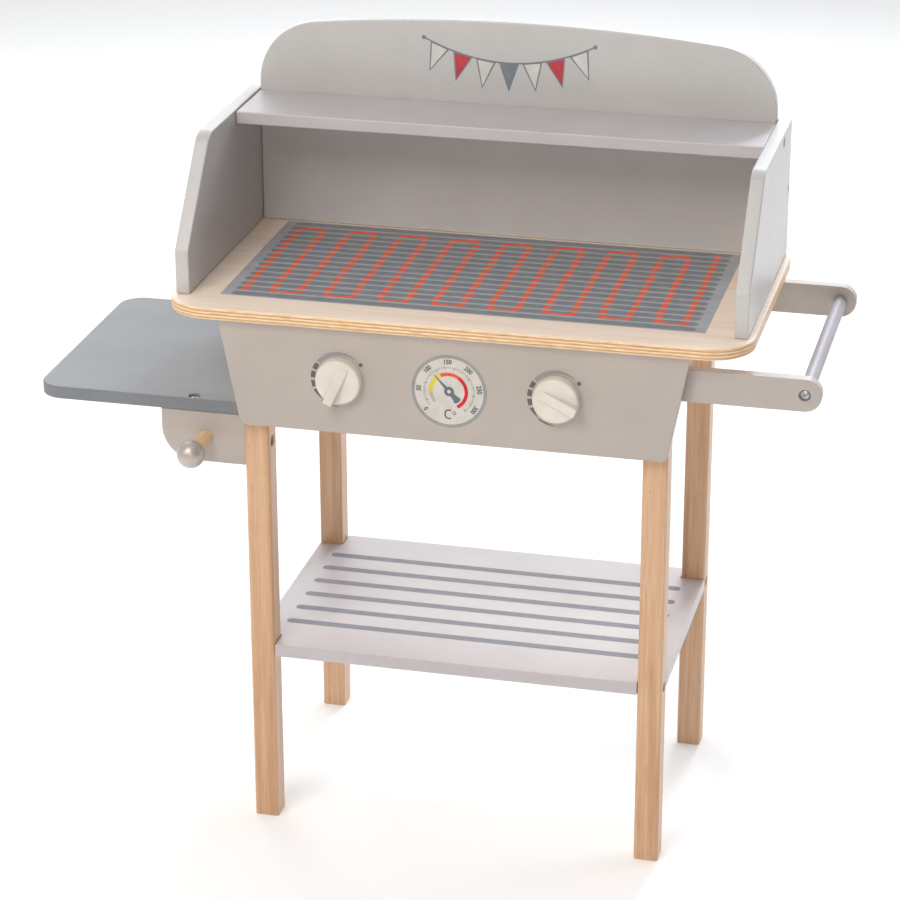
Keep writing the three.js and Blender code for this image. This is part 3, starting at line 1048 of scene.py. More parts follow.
@dataclass
class CrossScrew:
    """A zinc-plated wood screw with a crowned head and a cross recess."""

    head_radius: float = 4.45
    head_height: float = 2.4
    head_sides: int = 40
    crown: float = 0.9
    crown_steps: tuple[Point, ...] = ((1.1, 0.52), (1.2, 0.28), (1.0, 0.10))
    recess_reach: float = 2.5
    recess_width: float = 1.25
    recess_depth: float = 1.9
    shank_radius: float = 2.0
    shank_sides: int = 24
    shank_top: float = 1.8
    tip_length: float = 4.0
    tip_share: float = 0.1
    well_radius: float = 5.6
    well_overrun: float = 30.0
    sink_depth: float = 1.5
    hole_clearance: float = 0.05
    hole_spare: float = 2.0
    patterns: dict[float, Piece] = field(default_factory=dict)

    def pattern(self, length: float) -> Piece:
        """Models the screw once for each length, upright with its head's top at the origin.

        Args:
            length: from the head's top to the tip, in millimetres.

        Returns:
            The pattern that the screws are copied from.
        """
        if length in self.patterns:
            return self.patterns[length]
        up = Axis.Z.vector()
        start, end = -self.head_height * MM * up, -self.crown * MM * up
        head = rod("screw_pattern", start, end, self.head_radius, self.head_sides)
        with editing(head):  # the crown rises in steps, each flatter than the last
            pick(head, "faces", lambda face: face.normal.z > ALIKE)
            for inset, rise in self.crown_steps:
                bpy.ops.mesh.inset(thickness=inset * MM, depth=rise * MM)
        bottom = -self.recess_depth * MM
        reach, half = self.recess_reach * MM, self.recess_width / 2 * MM
        for x, y in ((reach, half), (half, reach)):
            slot = block("slot", Vector((-x, -y, bottom)), Vector((x, y, MM)))
            join_solids(head, slot, "DIFFERENCE")
        start, end = (self.tip_length - length) * MM * up, -self.shank_top * MM * up
        shank = rod("shank", start, end, self.shank_radius, self.shank_sides)
        with editing(shank):
            pick(shank, "faces", lambda face: face.normal.z < -ALIKE)
            drop = (0, 0, -self.tip_length * MM)
            bpy.ops.mesh.extrude_region_move(TRANSFORM_OT_translate={"value": drop})
            bpy.ops.transform.resize(value=(self.tip_share, self.tip_share, 1.0))
        join_solids(head, shank, "UNION")
        clean(head)
        smooth(head, 40)
        self.patterns[length] = head
        return head

    def seat(self, node: str, direction: Vector) -> tuple[Vector, float]:
        """Finds the top of a screw's head and the screw's length from its CAD node.

        Args:
            node: the screw's CAD node.
            direction: the way in which it is driven.

        Returns:
            The middle of the head's top, and the length, in metres.
        """
        low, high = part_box(node)
        reach = abs((high - low).dot(direction))
        return (low + high) / 2 - direction * reach / 2, reach

    def drive(
        self, node: str, direction: Vector, body: str = BODY, turn: float = 20.0
    ) -> Piece:
        """Puts a screw where the CAD has one.

        Args:
            node: the CAD node that it replaces, whose box it fills.
            direction: the way in which it is driven.
            body: the body it rides on.
            turn: how far its cross is turned, in degrees.

        Returns:
            The new screw.
        """
        head, reach = self.seat(node, direction)
        screw = copy_of(self.pattern(round(reach / MM, 1)), f"{node}_zinc")
        place(screw, aimed(head, -direction) @ Matrix.Rotation(math.radians(turn), 4, "Z"))
        return dress(screw, ZINC, node, body)

    def make_room(
        self, board: Piece, node: str, direction: Vector, well: bool = True
    ) -> None:
        """Drills a board for a screw: a well for the head, and a hole for the shank.

        Args:
            board: the board that the screw is driven through.
            node: the screw's CAD node.
            direction: the way in which it is driven.
            well: whether the board also has the well.
        """
        head, reach = self.seat(node, direction)
        if well:
            seat = head + direction * self.head_height * MM
            start = seat - direction * self.well_overrun * MM
            bore(board, start, seat, self.well_radius, self.head_sides)
            self.countersink(board, head, direction)
        end = head + direction * (reach + self.hole_spare * MM)
        bore(board, head, end, self.shank_radius + self.hole_clearance, self.shank_sides)

    def countersink(self, board: Piece, head: Vector, direction: Vector) -> None:
        """Breaks the sharp rim of a well at 45 degrees, as a countersink bit does.

        Args:
            board: the board with the well.
            head: a point on the well's middle line.
            direction: the way in which the screw is driven.
        """
        entry = min(Vector(corner).dot(direction) for corner in board.bound_box)
        rim = head + direction * (entry - head.dot(direction))
        narrow = self.well_radius - self.sink_depth / 2
        leave_selection()
        bpy.ops.mesh.primitive_cone_add(
            vertices=self.head_sides,
            radius1=(narrow + 2 * self.sink_depth) * MM,
            radius2=narrow * MM,
            depth=2 * self.sink_depth * MM,
        )
        cutter = named(bpy.context.object, "countersink")
        join_solids(board, place(cutter, aimed(rim, direction)), "DIFFERENCE")

    def put_away(self) -> None:
        """Deletes the patterns once every screw is copied from them."""
        for pattern in self.patterns.values():
            bpy.data.meshes.remove(pattern.data)
        self.patterns.clear()


SCREWS = CrossScrew()


# The sub-assemblies


def from_box(node: str, name: str) -> Piece:
    """Starts a piece as a block that fills a CAD node's box."""
    return block(name, *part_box(node))


def centre_of(node: str) -> Vector:
    """Gives the middle of a CAD node's box."""
    low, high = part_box(node)
    return (low + high) / 2


def half_width_of(node: str) -> float:
    """Gives half the width, in millimetres, of a CAD node's box: a round one's radius."""
    low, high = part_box(node)
    return (high.x - low.x) / 2 / MM


def ends_of(node: str) -> tuple[Vector, Vector]:
    """Gives the middles of the front and the rear of a CAD node's box.

    Args:
        node: the CAD node.

    Returns:
        The two points, in metres.
    """
    low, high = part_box(node)
    middle = (low + high) / 2
    return Vector((middle.x, low.y, middle.z)), Vector((middle.x, high.y, middle.z))


def in_line_with(corner: Vector) -> Test:
    """Gives the test for a point that lies within a millimetre of a corner, seen along X."""
    return lambda spot: (spot - corner).yz.length < MM


def inward(side: Side) -> Vector:
    """Gives the direction from a side of the object to its middle."""
    return Axis.X.vector(1.0 if side is Side.LEFT else -1.0)


def outward(depth: Depth) -> Vector:
    """Gives the direction from the middle to the front or the rear."""
    return Axis.Y.vector(-1.0 if depth is Depth.FRONT else 1.0)


@dataclass
class Stand:
    """Four beech legs, the lower shelf between them and its painted stripes."""

    leg_edge: float = 2.5
    leg_end: float = 1.2
    shelf_edge: float = 1.3
    leg_gap: float = 0.3
    stripe_count: int = 6
    stripe_front: float = 60.0
    stripe_spacing: float = 34.0
    stripe_width: float = 10.0
    stripe_length: float = 384.0
    ink: float = 0.1

    def leg(self, depth: Depth, side: Side) -> Piece:
        """Builds one leg, drilled for its screws.

        Args:
            depth: front or rear.
            side: left or right.

        Returns:
            The leg.
        """
        place_name = f"{depth.value}_{side.value}"
        leg = from_box(f"leg_{place_name}", f"leg_{place_name}_beech")
        round_corners(leg, Axis.Z, lambda middle: True, self.leg_edge, 5)
        ease(leg, self.leg_end)
        SCREWS.make_room(leg, f"shelf_screw_{place_name}", inward(side))
        SCREWS.make_room(leg, f"panel_screw_{place_name}", outward(depth))
        across = "bracket" if side is Side.LEFT else "arm"
        SCREWS.make_room(leg, f"{across}_screw_{depth.value}", -inward(side))
        smooth(leg)
        return dress(leg, LEG_BEECH, f"leg_{place_name}")

    def lower_shelf(self) -> Piece:
        """Builds the shelf, with a notch at each leg.

        Returns:
            The shelf.
        """
        shelf = from_box("lower_shelf", "lower_shelf_board")
        gap = Vector((1, 1, 1)) * self.leg_gap * MM
        for depth in Depth:
            for side in Side:
                low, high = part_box(f"leg_{depth.value}_{side.value}")
                join_solids(shelf, block("notch", low - gap, high + gap), "DIFFERENCE")
        ease(shelf, self.shelf_edge)
        smooth(shelf)
        return dress(shelf, GREY_PAINT_SHEEN_TONE, "lower_shelf")

    def stripes(self) -> None:
        """Prints the stripes across the shelf."""
        low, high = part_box("lower_shelf")
        outline = stadium(self.stripe_length, self.stripe_width, (0, 0))
        pattern = film("stripe_pattern", [outline], 0.0, self.ink)
        for number in range(self.stripe_count):
            stripe = copy_of(pattern, f"shelf_stripe_{number + 1}")
            back = (self.stripe_front + number * self.stripe_spacing) * MM
            place(stripe, Matrix.Translation(((low.x + high.x) / 2, low.y + back, high.z)))
            dress(stripe, STRIPE_INK)
        bpy.data.meshes.remove(pattern.data)

    def build(self) -> None:
        """Builds the whole stand."""
        for depth in Depth:
            for side in Side:
                self.leg(depth, side)
                place_name = f"{depth.value}_{side.value}"
                SCREWS.drive(f"shelf_screw_{place_name}", inward(side))
                SCREWS.drive(f"panel_screw_{place_name}", outward(depth), turn=50)
                coat(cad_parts[f"leg_dowel_{place_name}"], DOWEL_BEECH)
        self.lower_shelf()
        self.stripes()


@dataclass
class KnobScale(Print):
    """The printed scale round a knob: blocks, two tapering arcs and a dot."""

    inner: float = 24.7
    outer: float = 29.2
    block_angles: tuple[Point, ...] = ((145.4, 159.7), (164.7, 179.2), (184.8, 199.0))
    wedge: tuple[Station, ...] = ((204.5, 24.9, 29.2), (228.0, 27.3, 27.9))
    hair: tuple[Station, ...] = ((231.0, 27.6, 29.2), (250.0, 27.4, 28.8), (268.0, 28.2, 28.4))
    sweep: tuple[Station, ...] = (
        (141.0, 24.8, 29.0),
        (118.0, 25.0, 29.3),
        (97.0, 25.4, 29.3),
        (72.0, 26.3, 28.7),
        (47.0, 27.4, 27.6),
    )
    dot_radius: float = 2.1
    dot: Point = (21.5, 17.4)

    def build(self, side: Side, centre: Vector) -> None:
        """Prints the scale.

        Args:
            side: the knob that it belongs to.
            centre: the scale's centre on the panel's face, in metres.
        """
        ends = [[(a, self.inner, self.outer) for a in pair] for pair in self.block_angles]
        dark = [arc_band(stations) for stations in (*ends, self.wedge, self.hair)]
        dark.append(circle(self.dot_radius, self.dot, 32))
        soft = [arc_band(self.sweep)]
        layers = [("dark", dark, 0, SCALE_INK), ("grey", soft, 0, SOFT_SCALE_INK)]
        self.layers(f"knob_scale_{side.value}", facing_front(centre), layers)


@dataclass
class Gauge(Print):
    """The printed thermometer dial: rim, face, numbers, ticks, coloured arc and needle."""

    ink: float = 0.08
    rim: float = 37.6
    rim_width: float = 3.4
    number_radius: float = 30.1
    number_height: float = 4.5
    number_weight: float = 0.2
    number_squeeze: float = 0.88
    capital_share: float = 0.69  # the height of the built-in face's capitals
    zero_angle: float = 220.5
    degree_step: float = 0.85
    number_step: int = 50
    number_last: int = 300
    tick_first: float = -49.5
    tick_step: float = 4.24
    tick_count: int = 64
    tick_outer: float = 25.6
    bold_tick: Point = (2.7, 0.8)  # length and width, as for the next two
    long_tick: Point = (2.4, 0.6)
    fine_tick: Point = (1.8, 0.42)
    band_inner: float = 15.9
    band_outer: float = 19.4
    band_shift: float = -0.5
    band_ends: tuple[float, ...] = (220.0, 185.5, 116.5, 54.5, -61.0)
    needle_angle: float = 132.8
    needle_tip: float = 22.0
    needle_half_point: float = 0.25
    needle_waist: float = 1.9
    tail_tip: float = 14.0
    tail_width: float = 8.4
    tail_round_share: float = 0.55
    hub: float = 4.9
    hub_dot: float = 1.9
    unit_centre: Point = (-0.6, -23.6)
    unit_size: Point = (8.4, 10.1)
    unit_line: float = 1.5
    unit_bar_share: float = 0.75
    ring_centre: Point = (5.2, -22.1)
    ring_radius: float = 1.8
    ring_line: float = 0.6

    def tick(self, number: int) -> list[Point]:
        """Gives one tick: every tenth is bold, every fifth is long, the rest are fine.

        Args:
            number: its place, counted from the hot end.

        Returns:
            The closed outline.
        """
        if number % 10 == 0:
            length, width = self.bold_tick
        elif number % 5 == 0:
            length, width = self.long_tick
        else:
            length, width = self.fine_tick
        angle = self.tick_first + number * self.tick_step
        half = math.degrees(width / 2 / self.tick_outer)
        inner, outer = self.tick_outer - length, self.tick_outer
        corners = ((inner, -half), (outer, -half), (outer, half), (inner, half))
        return [on_circle(radius, angle + off) for radius, off in corners]

    def numeral(self, value: int) -> Piece:
        """Makes one number as a thin film, turned to face outwards at its place.

        Args:
            value: the number.

        Returns:
            The new object, on a dial that lies face up at the origin.
        """
        leave_selection()
        bpy.ops.object.text_add()
        piece = bpy.context.object
        text = piece.data
        text.body = str(value)
        text.size = self.number_height * MM / self.capital_share
        text.align_x = text.align_y = "CENTER"
        text.extrude = self.ink / 2 * MM
        text.offset = self.number_weight * MM
        numeral = flat_to_mesh(piece, f"numeral_{value}", 2 * self.ink, self.ink)
        angle = self.zero_angle - self.degree_step * value
        x, y = on_circle(self.number_radius, angle)
        turn = Matrix.Rotation(math.radians(angle - 90), 4, "Z")
        squeeze = Matrix.Scale(self.number_squeeze, 4, Axis.X.vector())
        return place(numeral, Matrix.Translation((x * MM, y * MM, 0)) @ turn @ squeeze)

    def numbers(self, here: Matrix) -> None:
        """Prints the numbers round the dial as one piece.

        Args:
            here: the dial's place.
        """
        values = range(0, self.number_last + 1, self.number_step)
        numerals = [self.numeral(value) for value in values]
        hold(numerals[0])
        for numeral in numerals:
            numeral.select_set(True)
        bpy.ops.object.join()
        dress(place(named(numerals[0], "gauge_numbers"), here), DIAL_TEXT_INK)

    def unit(self) -> list[Point]:
        """Gives the letter for degrees: a round back with two short straight bars.

        Returns:
            The closed outline.
        """
        x, y = self.unit_centre
        half_width, half_height = ((size - self.unit_line) / 2 for size in self.unit_size)
        bar = x + half_width * self.unit_bar_share
        back = [on_circle(1.0, angle) for angle in range(90, 271, 10)]
        curve = [(x + half_width * across, y + half_height * up) for across, up in back]
        path = [(bar, y + half_height), *curve, (bar, y - half_height)]
        return ribbon(path, self.unit_line)

    def needle(self) -> list[Point]:
        """Gives the needle: a long point and, behind the hub, a broad round tail.

        Returns:
            The closed outline.
        """
        ahead, behind = self.needle_angle, self.needle_angle + 180
        side = math.degrees(self.needle_half_point / self.needle_tip)
        half = self.tail_width / 2
        knee = self.tail_tip - half * self.tail_round_share
        shoulder = math.hypot(half, knee)
        spread = math.degrees(math.atan2(half, knee))
        flank = [  # from the waist round to the end, as radius and angle off the middle
            (self.needle_waist, 90),
            (shoulder * 0.8, spread * 0.9),
            (shoulder, spread),
            (self.tail_tip * 0.99, spread * 0.6),
        ]
        return [
            on_circle(self.needle_tip, ahead + side),
            *(on_circle(radius, behind - off) for radius, off in flank),
            on_circle(self.tail_tip, behind),
            *(on_circle(radius, behind + off) for radius, off in reversed(flank)),
            on_circle(self.needle_tip, ahead - side),
        ]

    def bands(self) -> Iterator[tuple[str, list[list[Point]], int, ScreenInk]]:
        """Gives the layers of the coloured arc.

        Yields:
            Each band's name, outline, level and ink.
        """
        inks = {"stone": WARM_INK, "yellow": YELLOW_INK, "orange": ORANGE_INK, "red": RED_INK}
        pairs = zip(self.band_ends, self.band_ends[1:])
        for (name, ink), pair in zip(inks.items(), pairs):
            outline = arc_band([(angle, self.band_inner, self.band_outer) for angle in pair])
            shifted = [(x + self.band_shift, y) for x, y in outline]
            yield f"band_{name}", [shifted], 2, ink

    def build(self, centre: Vector) -> None:
        """Prints the whole dial.

        Args:
            centre: the dial's centre on the panel's face, in metres.
        """
        here = facing_front(centre)
        bold = [self.tick(n) for n in range(self.tick_count) if n % 5 == 0]
        fine = [self.tick(n) for n in range(self.tick_count) if n % 5 != 0]
        radii = (self.ring_radius, self.ring_radius - self.ring_line)
        ring = [circle(radius, self.ring_centre, 32) for radius in radii]
        under = [
            ("rim", [circle(self.rim, steps=128)], 0, DIAL_RIM_INK),
            ("face", [circle(self.rim - self.rim_width, steps=128)], 1, DIAL_FACE_INK),
            ("ticks", bold, 2, DIAL_TEXT_INK),
            ("fine_ticks", fine, 2, SCALE_INK),
            *self.bands(),
            ("unit", [self.unit()], 2, DIAL_TEXT_INK),
            ("degree_ring", ring, 2, DIAL_TEXT_INK),
        ]
        over = [
            ("needle", [self.needle()], 3, NEEDLE_INK),
            ("hub", [circle(self.hub, steps=48)], 4, NEEDLE_INK),
            ("hub_dot", [circle(self.hub_dot, steps=32)], 5, DIAL_FACE_INK),
        ]
        self.layers("gauge", here, under)
        self.numbers(here)
        self.layers("gauge", here, over)


@dataclass
class Panels:
    """The front and rear panels, wide at the top, and what is printed on the front."""

    flare: float = 21.0
    corner: float = 5.0
    edge: float = 1.3
    gauge_drop: float = 55.7
    gauge_shift: float = -0.8
    gauge: Gauge = field(default_factory=Gauge)
    scale: KnobScale = field(default_factory=KnobScale)

    def panel(self, depth: Depth) -> Piece:
        """Builds one panel.

        Args:
            depth: front or rear.

        Returns:
            The panel.
        """
        name = f"{depth.value}_panel"
        panel = from_box(name, f"{name}_board")
        middle = centre_of(name)
        narrow = 1 - self.flare / half_width_of(name)
        with editing(panel):  # the bottom edge is narrower by the flare on each side
            pick(panel, "verts", lambda vertex: vertex.co.z < middle.z)
            bpy.ops.transform.resize(value=(narrow, 1.0, 1.0), center_override=middle)
        round_corners(panel, Axis.Y, lambda spot: spot.z < middle.z, self.corner, 8)
        ease(panel, self.edge)
        if depth is Depth.FRONT:
            for side in Side:
                SCREWS.make_room(panel, f"knob_screw_{side.value}", outward(depth), well=False)
        smooth(panel)
        return dress(panel, GREY_PAINT_SHADED_TONE, name)

    def build(self) -> None:
        """Builds both panels and the prints of the front one."""
        for depth in Depth:
            self.panel(depth)
        low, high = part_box("front_panel")
        across = (low.x + high.x) / 2 + self.gauge_shift * MM
        self.gauge.build(Vector((across, low.y, high.z - self.gauge_drop * MM)))
        for side in Side:
            middle = centre_of(f"knob_{side.value}")
            self.scale.build(side, Vector((middle.x, low.y, middle.z)))


@dataclass
class GratePrint(Print):
    """The printed grill grate: dark slots between light bars, and a red coil below them."""

    ink: float = 0.08
    half_width: float = 241.5
    front: float = 43.0
    depth: float = 237.0
    sheet_inset: float = 1.0
    slot_count: int = 16
    slot_start: float = 7.1
    slot_spacing: float = 14.85
    slot_width: float = 10.4
    slot_length: float = 463.0
    coil_lines: int = 17
    coil_start: float = -222.6
    coil_spacing: float = 27.54
    coil_width: float = 6.8
    coil_front: float = 17.6
    coil_rear: float = 216.5
    coil_first: float = 16.0
    coil_last: float = 228.0
    coil_bend: float = 8.0

    def coil(self) -> list[Point]:
        """Draws the coil as one line that goes to and fro across the grate.

        Returns:
            The line's middle, in millimetres from the print's front middle.
        """
        bend = self.coil_bend
        path: list[Point] = [(self.coil_start, self.coil_first)]
        for line in range(self.coil_lines - 1):
            x = self.coil_start + line * self.coil_spacing
            sign, y = (1, self.coil_rear) if line % 2 == 0 else (-1, self.coil_front)
            for middle, start in ((x + bend, 180), (x + self.coil_spacing - bend, 90)):
                for angle in range(start, start - 91, -15):
                    across, up = on_circle(bend, angle)
                    path.append((middle + across, y + sign * (up - bend)))
        last = self.coil_start + (self.coil_lines - 1) * self.coil_spacing
        return [*path, (last, self.coil_last)]

    def build(self, middle: float, front: float, top: float) -> None:
        """Prints the three layers on the worktop.

        Args:
            middle: the worktop's middle along X, in metres.
            front: the worktop's front edge along Y.
            top: the height of its top.
        """
        inset = self.sheet_inset
        sheet = rectangle(self.half_width - inset, inset, self.depth - inset)
        border = rectangle(self.half_width, 0.0, self.depth)
        rows = [self.slot_start + n * self.slot_spacing for n in range(self.slot_count)]
        slots = [stadium(self.slot_length, self.slot_width, (0.0, row)) for row in rows]
        layers = [
            ("slots", [sheet], 0, SLOT_INK),
            ("coil", [ribbon(self.coil(), self.coil_width)], 1, COIL_INK),
            ("bars", [border, *slots], 2, BAR_INK),
        ]
        here = Matrix.Translation((middle, front + self.front * MM, top))
        self.layers("grate", here, layers)


@dataclass
class Worktop:
    """The plywood top with its round corners and the grate printed on it."""

    front_corner: float = 44.0
    rear_corner: float = 38.0
    corner_segments: int = 18
    edge: float = 1.6
    grate: GratePrint = field(default_factory=GratePrint)

    def build(self) -> None:
        """Builds the board and prints the grate."""
        board = from_box("worktop", "worktop_ply")
        low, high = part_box("worktop")
        middle = (low + high) / 2
        for radius, test in (
            (self.front_corner, lambda spot: spot.y < low.y + MM),
            (self.rear_corner, lambda spot: spot.y > high.y - MM),
        ):
            round_corners(board, Axis.Z, test, radius, self.corner_segments)
        ease(board, self.edge)
        for depth in Depth:
            for side in Side:
                node = f"hood_base_screw_{depth.value}_{side.value}"
                SCREWS.make_room(board, node, Axis.Z.vector())
        smooth(board)
        dress(board, BIRCH_PLY, "worktop")
        self.grate.build(middle.x, low.y, high.z)


@dataclass
class Pennants(Print):
    """A generic printed decoration: a hanging string of plain pennants."""

    width: float = 178.0
    sag: float = 22.0
    flag_count: int = 7
    flag_width: float = 21.0
    flag_height: float = 30.0
    reds: tuple[int, ...] = (1, 5)
    border: float = 1.2
    corner_tuck: float = 1.75  # how far a border takes each upper corner in, in borders
    point_tuck: float = 2.6  # how far it takes the point up
    spare_pitch: float = 0.4
    line: float = 1.5
    line_steps: int = 48
    knot: float = 2.2
    drop: float = 20.0
    shift: float = -5.0

    def string(self, x: float) -> float:
        """Gives the height of the hanging string at a distance from its middle."""
        return self.sag * (2 * x / self.width) ** 2 - self.sag

    def flag(self, number: int, inset: float = 0.0) -> list[Point]:
        """Gives one pennant, its point down.

        Args:
            number: its place on the string, from the left.
            inset: how much smaller it is all round, in millimetres.

        Returns:
            The closed outline.
        """
        pitch = self.width / (self.flag_count + self.spare_pitch)
        x = (number - (self.flag_count - 1) / 2) * pitch
        turn = math.atan(8 * self.sag * x / self.width**2)  # the string's slope there
        half = self.flag_width / 2 - self.corner_tuck * inset
        point = -self.flag_height + self.point_tuck * inset
        cos, sin = math.cos(turn), math.sin(turn)
        return [
            (x + across * cos - up * sin, self.string(x) + across * sin + up * cos)
            for across, up in ((-half, -inset), (0.0, point), (half, -inset))
        ]

    def build(self, centre: Vector) -> None:
        """Prints the string, the pennants' slate borders and their colours.

        Args:
            centre: the middle of the string's ends on the board's face, in metres.
        """
        half = self.width / 2
        spots = [self.width * n / self.line_steps - half for n in range(self.line_steps + 1)]
        cord_line = ribbon([(x, self.string(x)) for x in spots], self.line)
        flags = range(self.flag_count)
        whites = [self.flag(n, self.border) for n in flags if n % 2 == 0]
        reds = [self.flag(n, self.border) for n in self.reds]
        layers = [
            ("borders", [self.flag(n) for n in flags], 0, FLAG_SLATE_INK),
            ("string", [cord_line], 1, FLAG_SLATE_INK),
            ("knots", [circle(self.knot, (x, 0.0), 24) for x in (-half, half)], 2, FLAG_SLATE_INK),
            ("white", whites, 1, FLAG_WHITE_INK),
            ("red", reds, 1, FLAG_RED_INK),
        ]
        self.layers("pennant", facing_front(centre), layers)


@dataclass
class Hood:
    """Two leaning-fronted sides, an arched back and a shelf between them."""

    toe_height: float = 44.5
    knee_setback: float = 79.5
    knee_radius: float = 22.0
    toe_radius: float = 3.0
    edge: float = 1.5
    crown_radius: float = 1970.0
    crown_cuts: int = 26
    back_corner: float = 66.0
    corner_cuts: int = 15
    pennants: Pennants = field(default_factory=Pennants)

    def side(self, side: Side) -> Piece:
        """Builds one side: its front edge stands up, leans back, and turns on to the top.

        Args:
            side: left or right.

        Returns:
            The side.
        """
        name = f"hood_side_{side.value}"
        board = from_box(name, f"{name}_board")
        low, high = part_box(name)
        toe = Vector((low.x, low.y, low.z + self.toe_height * MM))
        knee = Vector((low.x, low.y + self.knee_setback * MM, high.z))
        lean = knee - toe
        plane_off(board, toe, Vector((0, -lean.z, lean.y)).normalized())
        reach = self.knee_radius * math.tan(math.atan2(lean.z, lean.y) / 2)
        for corner, radius, segments in ((knee, reach, 12), (toe, self.toe_radius, 3)):
            round_corners(board, Axis.X, in_line_with(corner), radius, segments)
        ease(board, self.edge, 3, 32)
        for part in ("back", "shelf"):
            SCREWS.make_room(board, f"hood_{part}_screw_{side.value}", inward(side))
        smooth(board)
        return dress(board, GREY_PAINT_LIT_TONE, name)

    def back(self) -> Piece:
        """Builds the back: planed to a flat arch whose ends turn down in tight curves.

        Returns:
            The back.
        """
        low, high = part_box("hood_back")
        shelf_low, shelf_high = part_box("hood_shelf")
        low.x, high.x = shelf_low.x, shelf_high.x  # both fit closely between the sides
        board = block("hood_back_board", low, high)
        middle = (low.x + high.x) / 2
        crown = Vector((middle, low.y, high.z - self.crown_radius * MM))
        inset = (high.x - low.x) / 2 - self.back_corner * MM
        reach = (self.crown_radius - self.back_corner) * MM
        rise = math.sqrt(reach**2 - inset**2)
        tilt = math.degrees(math.asin(inset / reach))
        plane_round(board, crown, self.crown_radius, 90 - tilt, 90 + tilt, self.crown_cuts)
        for sign, first, last in ((1, 0.0, 90 - tilt), (-1, 180.0, 90 + tilt)):
            corner = Vector((middle + sign * inset, low.y, crown.z + rise))
            plane_round(board, corner, self.back_corner, first, last, self.corner_cuts)
        ease(board, self.edge)
        smooth(board)
        across = middle + self.pennants.shift * MM
        self.pennants.build(Vector((across, low.y, high.z - self.pennants.drop * MM)))
        return dress(board, GREY_PAINT_LIT_TONE, "hood_back")

    def shelf(self) -> Piece:
        """Builds the narrow shelf between the sides.

        Returns:
            The shelf.
        """
        board = from_box("hood_shelf", "hood_shelf_board")
        ease(board, self.edge)
        smooth(board)
        return dress(board, GREY_PAINT_SHEEN_TONE, "hood_shelf")

    def build(self) -> None:
        """Builds the whole hood and its screws."""
        for side in Side:
            self.side(side)
            SCREWS.drive(f"hood_back_screw_{side.value}", inward(side), turn=35)
            SCREWS.drive(f"hood_shelf_screw_{side.value}", inward(side), turn=10)
            for depth in Depth:
                node = f"hood_base_screw_{depth.value}_{side.value}"
                SCREWS.drive(node, Axis.Z.vector(), turn=30)
        self.back()
        self.shelf()


@dataclass
class SideTable:
    """The small board on the left, its two brackets, and the peg with the silver ball."""

    table_corner: float = 25.0
    bracket_corner: float = 34.0
    corner_segments: int = 14
    edge: float = 1.5
    peg_edge: float = 0.8
    peg_sides: int = 56
    peg_clearance: float = 0.1

    def table(self) -> Piece:
        """Builds the board, with its two outer corners round.

        Returns:
            The board.
        """
        board = from_box("side_table", "side_table_board")
        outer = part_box("side_table")[0].x + MM
        round_corners(
            board, Axis.Z, lambda spot: spot.x < outer, self.table_corner, self.corner_segments
        )
        ease(board, self.edge)
        for depth in Depth:
            SCREWS.make_room(board, f"table_screw_{depth.value}", Axis.Z.vector(-1))
        smooth(board)
        return dress(board, BLUE_GREY, "side_table")

    def drill_for_peg(self, piece: Piece, sides: int) -> None:
        """Drills the peg's hole.

        Args:
            piece: the piece that the peg sits in.
            sides: how many faces go round the hole.
        """
        bore(piece, *ends_of("tool_peg"), half_width_of("tool_peg") + self.peg_clearance, sides)

    def bracket(self, depth: Depth) -> Piece:
        """Builds one bracket, its lower outer corner round.

        Args:
            depth: front or rear.

        Returns:
            The bracket.
        """
        name = f"table_bracket_{depth.value}"
        board = from_box(name, f"{name}_board")
        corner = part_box(name)[0]
        round_corners(
            board,
            Axis.Y,
            lambda spot: spot.x < corner.x + MM and spot.z < corner.z + MM,
            self.bracket_corner,
            self.corner_segments,
        )
        ease(board, self.edge)
        if depth is Depth.FRONT:
            self.drill_for_peg(board, 48)
        smooth(board)
        return dress(board, GREY_PAINT_SHADED_TONE, name)

    def peg(self) -> Piece:
        """Turns the peg, with its ends eased.

        Returns:
            The peg.
        """
        ends = ends_of("tool_peg")
        peg = rod("tool_peg_beech", *ends, half_width_of("tool_peg"), self.peg_sides)
        ease(peg, self.peg_edge)
        smooth(peg, 40)
        return dress(peg, PEG_BEECH, "tool_peg")

    def ball(self) -> Piece:
        """Turns the ball: faced off where it meets the peg, and bored for it.

        Returns:
            The ball.
        """
        radius = half_width_of("peg_ball") * MM
        front, rear = ends_of("peg_ball")
        centre = front + Axis.Y.vector(radius)
        leave_selection()
        bpy.ops.mesh.primitive_uv_sphere_add(
            segments=64, ring_count=40, radius=radius, location=centre
        )
        ball = named(bpy.context.object, "peg_ball_turned")
        settle(ball)
        with editing(ball):  # the poles lie on the peg's own line, as on a lathe
            bpy.ops.mesh.select_all(action="SELECT")
            bpy.ops.transform.rotate(
                value=math.pi / 2, orient_axis="X", center_override=centre
            )
        plane_off(ball, rear, Axis.Y.vector())
        self.drill_for_peg(ball, self.peg_sides)
        smooth(ball, 40, weighted=False)
        return dress(ball, TURNED_SILVER, "peg_ball")

    def build(self) -> None:
        """Builds the whole side table."""
        self.table()
        for depth in Depth:
            self.bracket(depth)
            SCREWS.drive(f"table_screw_{depth.value}", Axis.Z.vector(-1), turn=15)
            SCREWS.drive(f"bracket_screw_{depth.value}", Axis.X.vector(-1), turn=70)
        self.peg()
        self.ball()


